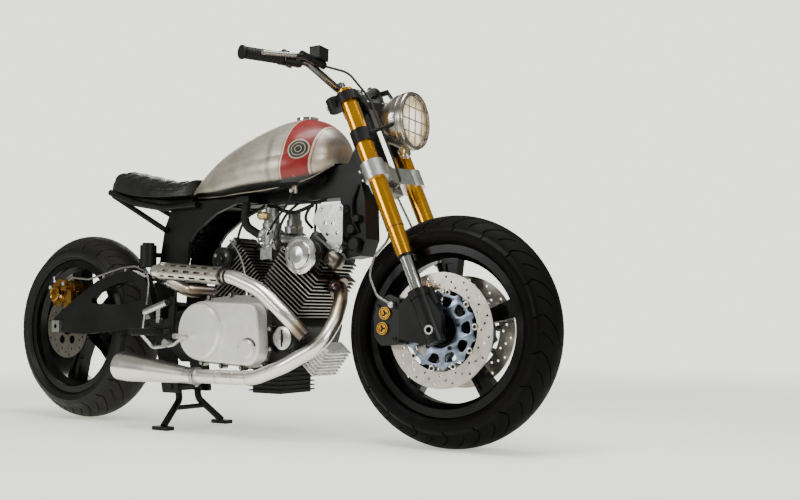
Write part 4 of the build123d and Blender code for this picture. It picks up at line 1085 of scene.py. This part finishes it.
def make_chain(material):
    """Straight-sided plates with round ends, in pairs, inner and outer by turns, on rollers with riveted
    pins.
    """
    points = chain_points()
    across = Vector((0, 1, 0))
    form = Form()
    for k, (point, following) in enumerate(zip(points, points[1:] + points[:1])):
        along = following - point
        length = along.length
        along.normalize()
        place = framed(point, along, -along.cross(across), across)
        outline = [(centre + 0.0064 * math.cos(math.radians(turn)), 0.0064 * math.sin(math.radians(turn)))
                   for centre, low in ((length, -100), (0.0, 80)) for turn in range(low, low + 201, 25)]
        inner, outer = ((0.0016, 0.0030), (0.0032, 0.0046))[k % 2]
        for side in (-1, 1):
            form.prism(place, outline, *sorted((side * inner, side * outer)))
        form.lathe(place, [(0.0042, -0.0052), (0.0042, 0.0052)], 12)
    form.piece("roller_chain", "chassis", "chain_steel", material, replaces=("drive_chain",))


# Small parts of the engine and exhaust
FLANGE_BOLTS = (
    (-0.033, 0.417), (0.058, 0.423), (0.146, 0.423), (0.214, 0.384), (0.218, 0.322), (0.221, 0.262),
    (0.190, 0.212), (0.104, 0.205), (0.020, 0.209), (-0.062, 0.216), (-0.124, 0.288), (-0.112, 0.370))
BOSS_LEVEL = 0.5353
CARBURETTOR_LID = ((0.0300, 0), (0.0310, 0.002), (0.0310, 0.008), (0.0285, 0.010), (0.0240, 0.010),
                   (0.0225, 0.003))
# Rings on the lower pipe: place along the machine, radius, wire and material
PIPE_RINGS = ((-0.038, 0.0258, 0.0016, 1), (0.052, 0.0214, 0.0009, 0), (0.118, 0.0214, 0.0009, 0),
              (0.172, 0.0214, 0.0009, 0))
SHIELD_ENDS = (Vector((-0.17576, -0.19636, 0.49948)), Vector((0.0964, -0.1996, 0.4768)))
SHIELD_R = 0.027
SHIELD_WALL = 0.0014
SHIELD_ROWS = ((-48, 0.0, 6), (-8, 0.5, 5), (32, 0.0, 6))     # angle, shift in pitches, slots
# Leads and hoses: four points and the radius
HOSES = (
    ((0.215, -0.070, 0.560), (0.205, -0.088, 0.600), (0.220, -0.070, 0.660), (0.250, -0.040, 0.702), 0.0040),
    ((0.215, 0.070, 0.560), (0.205, 0.088, 0.600), (0.220, 0.070, 0.660), (0.250, 0.040, 0.702), 0.0040),
    ((0.010, -0.052, 0.560), (0.030, -0.072, 0.610), (0.060, -0.070, 0.660), (0.110, -0.040, 0.702), 0.0040),
    ((0.158, -0.084, 0.600), (0.200, -0.098, 0.640), (0.248, -0.096, 0.690), (0.269, -0.100, 0.724), 0.0036),
    ((0.160, -0.062, 0.680), (0.190, -0.070, 0.700), (0.260, -0.058, 0.700), (0.330, -0.038, 0.696), 0.0050),
    ((0.120, -0.036, 0.700), (0.160, -0.046, 0.690), (0.230, -0.046, 0.672), (0.300, -0.038, 0.690), 0.0060),
    ((0.300, -0.040, 0.620), (0.290, -0.060, 0.650), (0.310, -0.052, 0.690), (0.350, -0.036, 0.704), 0.0045),
    ((-0.216, -0.078, 0.520), (-0.230, -0.084, 0.460), (-0.226, -0.090, 0.400), (-0.222, -0.082, 0.340),
     0.0045),
    ((0.470, -0.036, 0.600), (0.455, -0.044, 0.640), (0.450, -0.042, 0.690), (0.468, -0.036, 0.740), 0.0050),
)


def cylinder_place(side, x, y, reach):
    """A point given on a cylinder: away from the other cylinder, across, and outward from the crank."""
    lean = side * V_HALF_ANGLE
    along = Vector((math.sin(lean), 0, math.cos(lean)))
    away = Vector((math.cos(lean), 0, -math.sin(lean))) * side
    return CRANK + away * x + Vector((0, side * y, 0)) + along * reach, away, along


def box_outline(half_x, half_y):
    return [(-half_x, -half_y), (half_x, -half_y), (half_x, half_y), (-half_x, half_y)]


def make_engine_fasteners(zinc, brass, dark):
    """Bolts of the covers, heads and brackets, and the covers of the two plain bosses."""
    form = Form()
    for x, z in FLANGE_BOLTS:
        form.lathe(toward((x, -0.1319, z), RIGHT), [(0.0085, 0), (0.0085, 0.0008)], 20, slot=2)
        socket_bolt(form, toward((x, -0.1327, z), RIGHT), 0.0056)
    for turn in (math.radians(-100 + 25 * k) for k in range(9)):
        place = CRANK + Vector((0.077 * math.cos(turn), 0.162, 0.077 * math.sin(turn)))
        socket_bolt(form, toward(place, -RIGHT), 0.0045)
    for side, low_reach, slot in ((-1, 0.262, 1), (1, 0.245, 0)):
        for x, y in box_outline(0.038, 0.040):
            place, away, along = cylinder_place(side, x, y - CYLINDER_SHIFT, 0.340)
            hex_bolt(form, toward(place, along), 0.0065, slot)
        for y in (-0.024, 0.024):
            place, away, along = cylinder_place(side, 0.095, y - CYLINDER_SHIFT, low_reach)
            hex_bolt(form, toward(place + away * 0.007, away), 0.0045)
        for x, z in ((0.420, 0.670), (0.414, 0.562), (0.350, 0.672)):
            hex_bolt(form, sideways(x, 0.062, z, side), 0.0065)
    for side, cap_x, boss_x in ((-1, 0.3229, -0.0229), (1, -0.0229, 0.3229)):
        for x, z in circle(0.0505, 3, math.radians(35)):
            socket_bolt(form, sideways(cap_x + x, 0.1261, BOSS_LEVEL + z, side), 0.0036)
        boss = sideways(boss_x, 0.0910, BOSS_LEVEL, side)
        form.lathe(boss, [(0.0360, 0), (0.0360, 0.0022), (0.0320, 0.0040), (0.0200, 0.0040), (0.0185, 0.0022),
                          (0.0120, 0.0022), (0.0110, 0.0068), (0.0090, 0.0080)], 48, slot=2)
        for k in range(3):
            hex_bolt(form, boss @ Matrix.Rotation(math.radians(30 + 120 * k), 4, "Z")
                     @ Matrix.Translation((0.0265, 0, 0.0038)), 0.0042)
    form.piece("engine_fasteners", "chassis", "clamp_silver", zinc, brass, dark)


def make_engine_trim(dark, zinc, brass, bright):
    """The clip round the small cap, the slotted disc, carburettor trim, oil pipe and tensioner."""
    form = Form()
    cap = Vector((0.168, -0.1735, 0.262))
    clip = [cap + 0.0315 * Vector((math.cos(turn), 0, math.sin(turn)))
            for turn in (math.radians(20 + 10 * k) for k in range(16))]
    form.tube(clip, 0.0018, 8)
    form.lathe(toward(clip[-1] + Vector((0, 0.004, 0)), RIGHT),
               [(0.006, 0), (0.006, 0.006), (0.0045, 0.0075)], 14)
    disc = toward((0.258, -0.1221, 0.295), RIGHT)
    form.lathe(disc, [(0.034, 0), (0.034, 0.003), (0.030, 0.0045), (0.012, 0.0045), (0.011, 0.003)],
               36, slot=1)
    form.prism(disc, box_outline(0.003, 0.026), 0.0040, 0.0052)
    form.lathe(toward((0.136, -0.0975, 0.664), (1, 0, -0.12)),
               [(0.008, 0), (0.011, 0.003), (0.013, 0.008), (0.013, 0.024), (0.0105, 0.028), (0.0105, 0.036),
                (0.007, 0.039)], 24, slot=2)
    form.tube(smooth_path([(0.150, -0.082, 0.668), (0.140, -0.090, 0.667), (0.132, -0.096, 0.665)], 4), 0.004,
              slot=1)
    for side, x in CARBURETTORS:
        form.lathe(toward((x, side * 0.0838, 0.596), RIGHT * -side), CARBURETTOR_LID, 36, slot=3)
        for shift_x, shift_y in box_outline(0.018, 0.020):
            socket_bolt(form, toward((x + shift_x, side * 0.062 + shift_y, 0.531), (0, 0, -1)), 0.003, 1)
        form.lathe(toward((x, side * 0.060, 0.6405), (0, 0, 1)),
                   [(0.0300, -0.006), (0.0305, 0), (0.0280, 0.002)], 30, slot=1)
    place, away, along = cylinder_place(-1, -0.040, 0.046, 0.326)
    form.tube(smooth_path([place, place + Vector((0.004, -0.020, 0.004)), (0.012, -0.086, 0.590),
                           (0.044, -0.090, 0.560), (0.068, -0.092, 0.520), (0.086, -0.098, 0.470),
                           (0.098, -0.106, 0.425), (0.100, -0.109, 0.402)], 6), 0.0028, slot=1)
    hex_bolt(form, toward(place + Vector((0, 0.004, 0)), RIGHT), 0.0060, 1)
    place, away, along = cylinder_place(1, 0.050, -0.055, 0.316)
    form.lathe(toward(place, away),
               [(0.026, 0), (0.027, 0.004), (0.027, 0.026), (0.024, 0.036), (0.015, 0.043), (0.004, 0.045)],
               28, slot=4)
    form.piece("engine_trim", "chassis", "black_part", dark, zinc, brass, bright,
               cast_metal("tensioner_metal", (0.20, 0.17, 0.14), 0.28))


def make_exhaust_bands(steel, dark):
    """Clamps and weld beads on the pipes."""
    form = Form()
    for x, radius, wire, slot in PIPE_RINGS:
        y = -0.170 if slot else -0.171
        form.ring(toward((x, y, 0.178), (1, 0, 0)), radius, wire, 40, slot)
    form.lathe(toward((-0.050, -0.170, 0.178), (1, 0, 0)),
               [(0.0258, 0), (0.0268, 0.001), (0.0268, 0.013), (0.0258, 0.014)], 40)
    hex_bolt(form, toward((-0.043, -0.170, 0.150), (0, 0, -1)), 0.0045)
    form.ring(toward((0.112, -0.1995, 0.4755), (0.336, -0.004, -0.028)), 0.0225, 0.0030, 40, 1)
    for x in (-0.165, 0.085):
        z = 0.502 - 0.028 * (x + 0.206) / 0.336
        hex_bolt(form, toward((x, -0.2295, z), RIGHT), 0.0040)
    form.piece("exhaust_bands", "chassis", "exhaust_steel", steel, dark)


def make_heat_shield(material):
    """A half sleeve with three rows of long slots."""
    start, end = SHIELD_ENDS
    length = (end - start).length
    along = (end - start).normalized()
    outward = (RIGHT - along * RIGHT.dot(along)).normalized()
    place = framed(start, outward, along.cross(outward), along)
    turns = [math.radians(-98 + 196 * k / 48) for k in range(49)]
    section = [(radius * math.cos(turn), radius * math.sin(turn)) for radius, row in (
        (SHIELD_R, turns), (SHIELD_R - SHIELD_WALL, turns[::-1])) for turn in row]
    form = Form()
    form.grid([[place @ Vector((x, y, length * k / 60)) for x, y in section] for k in range(61)])
    outline = [(math.copysign(0.0105, x) + 0.0034 * x, 0.0034 * y)
               for x, y in circle(1.0, 12, math.radians(15))]
    cutters = Form()
    for angle, shift, count in SHIELD_ROWS:
        for k in range(count):
            middle = Matrix.Translation((0, 0, length / 6 * (k + 0.5 + shift)))
            facing = Matrix.Rotation(math.radians(angle), 4, "Z") @ Matrix.Rotation(math.pi / 2, 4, "Y")
            cutters.prism(place @ middle @ facing, outline, 0.020, 0.034)
    cut(form.piece("slotted_heat_shield", "chassis", "exhaust_steel", material, replaces=("heat_shield",)),
        cutters)


def make_wiring(material):
    """Plug leads, breather hoses and a loom between the heads, carburettors and frame."""
    form = Form()
    for *route, radius in HOSES:
        form.tube(smooth_path(route), radius)
    for x, z, radius, depth in ((0.462, 0.566, 0.021, 0.020), (0.448, 0.610, 0.016, 0.016),
                                (0.470, 0.640, 0.012, 0.018)):
        form.lathe(toward((x, -0.0338, z), RIGHT),
                   [(radius, 0), (radius, 0.7 * depth), (0.8 * radius, depth)])
    form.piece("wiring_and_hoses", "chassis", "black_part", material)


# Small parts of the suspension, wheels, steering and tank
DISC_BOBBIN = ((0.0088, 0), (0.0088, 0.0016), (0.0074, 0.0022), (0.0050, 0.0022), (0.0046, 0.0006))
CARRIER_Y = 0.0700
CARRIER_HALF = 0.0024
CARRIER_BORE = 0.0465
WINDOW_MIDDLE = 0.0765
# The tank's lower edge: place along the machine, half width and height
TANK_FOOT = ((-0.170, 0.066, 0.7421), (-0.060, 0.112, 0.733), (0.060, 0.136, 0.733), (0.200, 0.143, 0.737),
             (0.318, 0.118, 0.757), (0.366, 0.080, 0.786))


def make_shock_spring(material):
    """The coil spring around the rear shock, between its two plates."""
    low, high = Vector((-0.384, 0, 0.490)), Vector((-0.212, 0, 0.676))
    place = toward(low, high - low)
    start, end = 0.024, (high - low).length - 0.034
    coil, turns = 0.0375, 7.5
    count = int(turns * 22)
    path = []
    for share in (k / count for k in range(count + 1)):
        turn = math.tau * turns * share
        height = start + (end - start) * share
        path.append(place @ Vector((coil * math.cos(turn), coil * math.sin(turn), height)))
    form = Form()
    form.tube(path, 0.0046)
    for height in (start - 0.004, end - 0.004):
        form.lathe(place, [(0.0325, height), (0.043, height), (0.043, height + 0.004),
                           (0.0325, height + 0.004)], 32, True)
    form.piece("shock_spring", "chassis", "black_part", material)


def make_front_wheel_fasteners(pale, dark):
    """Disc bobbins and carrier bolts on both sides of the front hub."""
    form = Form()
    for side in (-1, 1):
        for x, z in circle(0.104, 10, math.radians(18)):
            place = STEERED @ sideways(x, 0.0738, -z, side)
            form.lathe(place, DISC_BOBBIN)
            form.lathe(place, [(0.0046, 0.0004), (0.0046, 0.0010)], 12, slot=1)
        for x, z in circle(0.056, 5, math.radians(9)):
            socket_bolt(form, STEERED @ sideways(x, 0.0724, -z, side), 0.0052, 1)
    form.piece("front_disc_bobbins", "front_wheel", "disc_steel", pale, dark)


def carrier_window(k):
    """The outline of a rounded window in a disc carrier."""
    window = []
    for across, outward in circle(1.0, 28):
        radius = WINDOW_MIDDLE + 0.0135 * math.copysign(abs(outward) ** 0.6, outward)
        half_angle = math.radians(11.5 + 130 * (radius - WINDOW_MIDDLE))
        turn = math.tau * k / 10 + half_angle * math.copysign(abs(across) ** 0.6, across)
        window.append((radius * math.sin(turn), radius * math.cos(turn)))
    return window


def make_carriers(material):
    """Disc carriers with a scalloped edge and ten rounded windows each."""
    edge = []
    for turn in (math.tau * k / 240 for k in range(240)):
        radius = 0.0985 + 0.0085 * max(0.0, -math.cos(10 * turn)) ** 3
        edge.append((radius * math.sin(turn), radius * math.cos(turn)))
    outlines = [edge, [(x, y) for y, x in circle(CARRIER_BORE, 64)], *(carrier_window(k) for k in range(10))]
    form = Form()
    for side in (-1, 1):
        place = STEERED @ Matrix.Translation((0, side * CARRIER_Y, 0)) @ Matrix.Rotation(math.pi / 2, 4, "X")
        form.pierced(place, outlines, -CARRIER_HALF, CARRIER_HALF)
        form.lathe(STEERED @ sideways(0, 0.0620, 0, side),
                   [(CARRIER_BORE, 0), (0.0560, 0), (0.0560, 0.0056), (CARRIER_BORE, 0.0056)], 64, True)
    form.piece("disc_carriers", "front_wheel", "carrier_grey", material, replaces=("front_disc_carriers",))


def make_caliper_trim(gold, zinc, dark):
    """The rear caliper's cap ring, bridge bolts, pad pins and bleed nipple."""
    form = Form()
    form.lathe(toward((-0.786, -0.1400, 0.440), RIGHT),
               [(0.0245, -0.004), (0.0250, 0), (0.0225, 0.0022), (0.0195, 0.0022), (0.0185, 0.0008),
                (0.0020, 0.0012)], 40)
    for x, z in ((-0.822, 0.462), (-0.752, 0.474), (-0.762, 0.430)):
        hex_bolt(form, toward((x, -0.1300, z), RIGHT), 0.0055, 1)
    for x, z in ((-0.726, 0.470), (-0.730, 0.444)):
        socket_bolt(form, toward((x, -0.1300, z), RIGHT), 0.0045, 2)
    form.prism(toward((-0.742, -0.1300, 0.457), RIGHT),
               [(-0.016, -0.005), (0.012, -0.007), (0.016, 0.005), (-0.012, 0.007)], 0, 0.004)
    form.lathe(toward((-0.812, -0.118, 0.4795), (-0.35, 0, 1)),
               [(0.0050, 0), (0.0050, 0.006), (0.0034, 0.007), (0.0034, 0.016), (0.0044, 0.017),
                (0.0030, 0.021)], 14, slot=1)
    form.piece("rear_caliper_trim", "chassis", "gold_tube", gold, zinc, dark)


def make_fork_fasteners(zinc, dark, brass):
    """Stars in the caliper caps, banjo and pinch bolts, seals and clamp bolts."""
    level = STEERED @ LEVEL
    form = Form()
    for side in (-1, 1):
        for x, z in ((-0.146, 0.044), (-0.153, 0.003)):
            place = level @ sideways(x, 0.1158, z, side)
            for k in range(3):
                form.prism(place @ Matrix.Rotation(math.tau * k / 3 + 0.5, 4, "Z"),
                           [(-0.0022, -0.001), (0.0022, -0.001), (0.0030, 0.0092), (-0.0030, 0.0092)],
                           0, 0.0014, 1)
            form.ring(level @ sideways(x, 0.1188, z, side), 0.0135, 0.0012, 28, 1)
        for x, z in ((-0.118, 0.072), (-0.116, -0.024), (-0.170, 0.066)):
            socket_bolt(form, level @ sideways(x, 0.1119, z, side), 0.0052, 1)
        for x in (-0.026, -0.042):
            hex_bolt(form, level @ sideways(x, 0.1168, 0.058, side), 0.0048, 1)
        hex_bolt(form, STEERED @ sideways(-0.086, 0.1255, 0.110, side), 0.0062)
        form.lathe(STEERED @ toward((0.025, side * 0.097, 0.1118), (0, 0, 1)),
                   [(0.0085, 0), (0.0085, 0.004), (0.0060, 0.0055), (0.0060, 0.011), (0.0038, 0.0125),
                    (0.0038, 0.018)], 18, slot=2)
        leg = STEERED @ toward((-0.004, side * 0.105, 0.0), (0, 0, 1))
        form.lathe(leg, [(0.0193, 0.2140), (0.0232, 0.2150), (0.0240, 0.2218), (0.0193, 0.2218)], 36, True, 1)
        form.ring(leg @ Matrix.Translation((0, 0, 0.3046)), 0.0250, 0.0009, 36, 1)
        form.lathe(leg, [(0.0120, 0.7448), (0.0120, 0.7510), (0.0105, 0.7520)], 6)
        for x, y, z, size in ((-0.036, 0.121, 0.467, 0.0050), (-0.036, 0.121, 0.494, 0.0050),
                              (-0.0715, 0.108, 0.722, 0.0060)):
            socket_bolt(form, STEERED @ toward((x, side * y, z), (-1, 0, 0)), size)
        form.lathe(STEERED @ toward((-0.050, side * 0.106, 0.7398), (0, 0, 1)),
                   [(0.012, 0), (0.012, 0.003), (0.009, 0.0045)])
    form.lathe(STEERED @ toward((-0.0351, 0, 0.7298), (0, 0, 1)),
               [(0.019, 0), (0.019, 0.004), (0.016, 0.010), (0.008, 0.011)], 6)
    form.piece("fork_fasteners", "steering", "clamp_silver", zinc, dark, brass)


def make_lamp_trim(lamp, zinc, brass):
    """The lamp's rim, side bolts and the fittings below it."""
    form = Form()
    axis = LAMP @ Matrix.Rotation(math.pi / 2, 4, "Y")
    form.lathe(axis, [(0.0820, -0.012), (0.0838, -0.010), (0.0842, -0.002), (0.0820, 0.001)], 64, True)
    form.ring(axis @ Matrix.Translation((0, 0, -0.020)), 0.0816, 0.0012, 64)
    for side in (-1, 1):
        hex_bolt(form, LAMP @ sideways(-0.028, 0.0795, 0, side), 0.0075, 1)
    form.lathe(LAMP @ toward((-0.030, -0.012, -0.074), (0, 0, -1)),
               [(0.010, 0), (0.010, 0.008), (0.013, 0.010), (0.013, 0.020), (0.008, 0.022), (0.008, 0.030)],
               18, slot=2)
    form.lathe(LAMP @ toward((-0.038, 0.016, -0.070), (0.1, 0, -1)),
               [(0.009, 0), (0.009, 0.018), (0.012, 0.020), (0.012, 0.028), (0.006, 0.034)], 18, slot=1)
    form.piece("lamp_trim", "steering", "lamp_metal", lamp, zinc, brass)


def make_bar_trim(dark, zinc):
    """Switch buttons, reservoir lid with its screws, and riser bolts."""
    form = Form()
    for side in (-1, 1):
        outer, along = hand_line(side)
        perch = outer - along * 0.158
        form.lathe(STEERED @ toward(perch + along * 0.006, (-0.35, 0, 1)),
                   [(0.0135, 0.014), (0.0135, 0.024), (0.0090, 0.026), (0.0090, 0.036), (0.0070, 0.039)])
        for shift in (-0.018, 0.026):
            form.ring(STEERED @ toward(perch + along * shift, along), 0.0192, 0.0011)
        form.prism(STEERED @ toward(perch - along * 0.004, (-1, 0, 0.2)), box_outline(0.011, 0.014),
                   0.016, 0.023)
        for x, y in box_outline(0.009, 0.008):
            socket_bolt(form, STEERED @ toward((-0.042 + x, side * (0.048 + y), 0.7998), (0, 0, 1)),
                        0.0036, 1)
    outer, along = hand_line(-1)
    box = STEERED @ Matrix.Translation(outer - along * 0.158 + Vector((0.054, 0.062, 0.004))) @ LEVEL
    form.prism(box, box_outline(0.018, 0.024), 0.0168, 0.0195)
    for y in (-0.016, 0.016):
        socket_bolt(form, box @ toward((0, y, 0.0194), (0, 0, 1)), 0.0028, 1)
    form.piece("handlebar_trim", "steering", "black_part", dark, zinc)


def make_tank_seam(material):
    """The rolled lip along the tank's lower edge on both sides."""
    form = Form()
    for side in (-1, 1):
        form.tube(smooth_path([(x, side * 0.815 * half, foot + 0.0012) for x, half, foot in TANK_FOOT], 6),
                  0.0026, 8)
    form.piece("tank_seam", "chassis", "tank_steel", material)


def make_small_parts():
    zinc = cast_metal("bolt_zinc", (0.70, 0.69, 0.66), 0.22)
    brass = cast_metal("bolt_brass", (0.72, 0.50, 0.24), 0.28)
    dark = black_paint("bolt_black", (0.004, 0.004, 0.004), 0.3)
    make_engine_fasteners(zinc, brass, dark)
    make_engine_trim(dark, zinc, brass, chrome("trim_chrome"))
    make_exhaust_bands(zinc, dark)
    make_wiring(rubber("hose_black", (0.002, 0.002, 0.002), 0.4))
    make_heat_shield(shield_steel("slotted_shield_steel"))
    make_seat_pan(rubber("pan_black"))
    make_shock_spring(dark)
    make_front_wheel_fasteners(cast_metal("bobbin_metal", (0.74, 0.70, 0.62), 0.25), dark)
    make_carriers(cast_metal("carrier_alloy", (0.25, 0.30, 0.40), 0.28))
    make_caliper_trim(gold_part("rear_trim_gold"), zinc, dark)
    make_fork_fasteners(zinc, dark, brass)
    make_lamp_trim(cast_metal("lamp_rim_metal", (0.50, 0.46, 0.41), 0.2), zinc, brass)
    make_bar_trim(dark, zinc)
    make_tank_seam(cast_metal("seam_steel", (0.36, 0.32, 0.27), 0.35))


make_camera()
make_lights()
make_background()
make_floor()
dress_frame()
# Painted light: the rear tyre's crown is paler than the front's, partly for dust and partly for the key light
# from above.
make_tyre("front", STEERED, FRONT_TYRE, 19, 0.1)
make_tyre("rear", REAR_HUB, REAR_TYRE, 21, 1.0)
make_seat()
make_grips(rubber("grip_rubber"))
make_lens(lens_glow("lens_glow"))
make_chain(cast_metal("chain_steel_links", (0.30, 0.28, 0.25), 0.36))
make_small_parts()
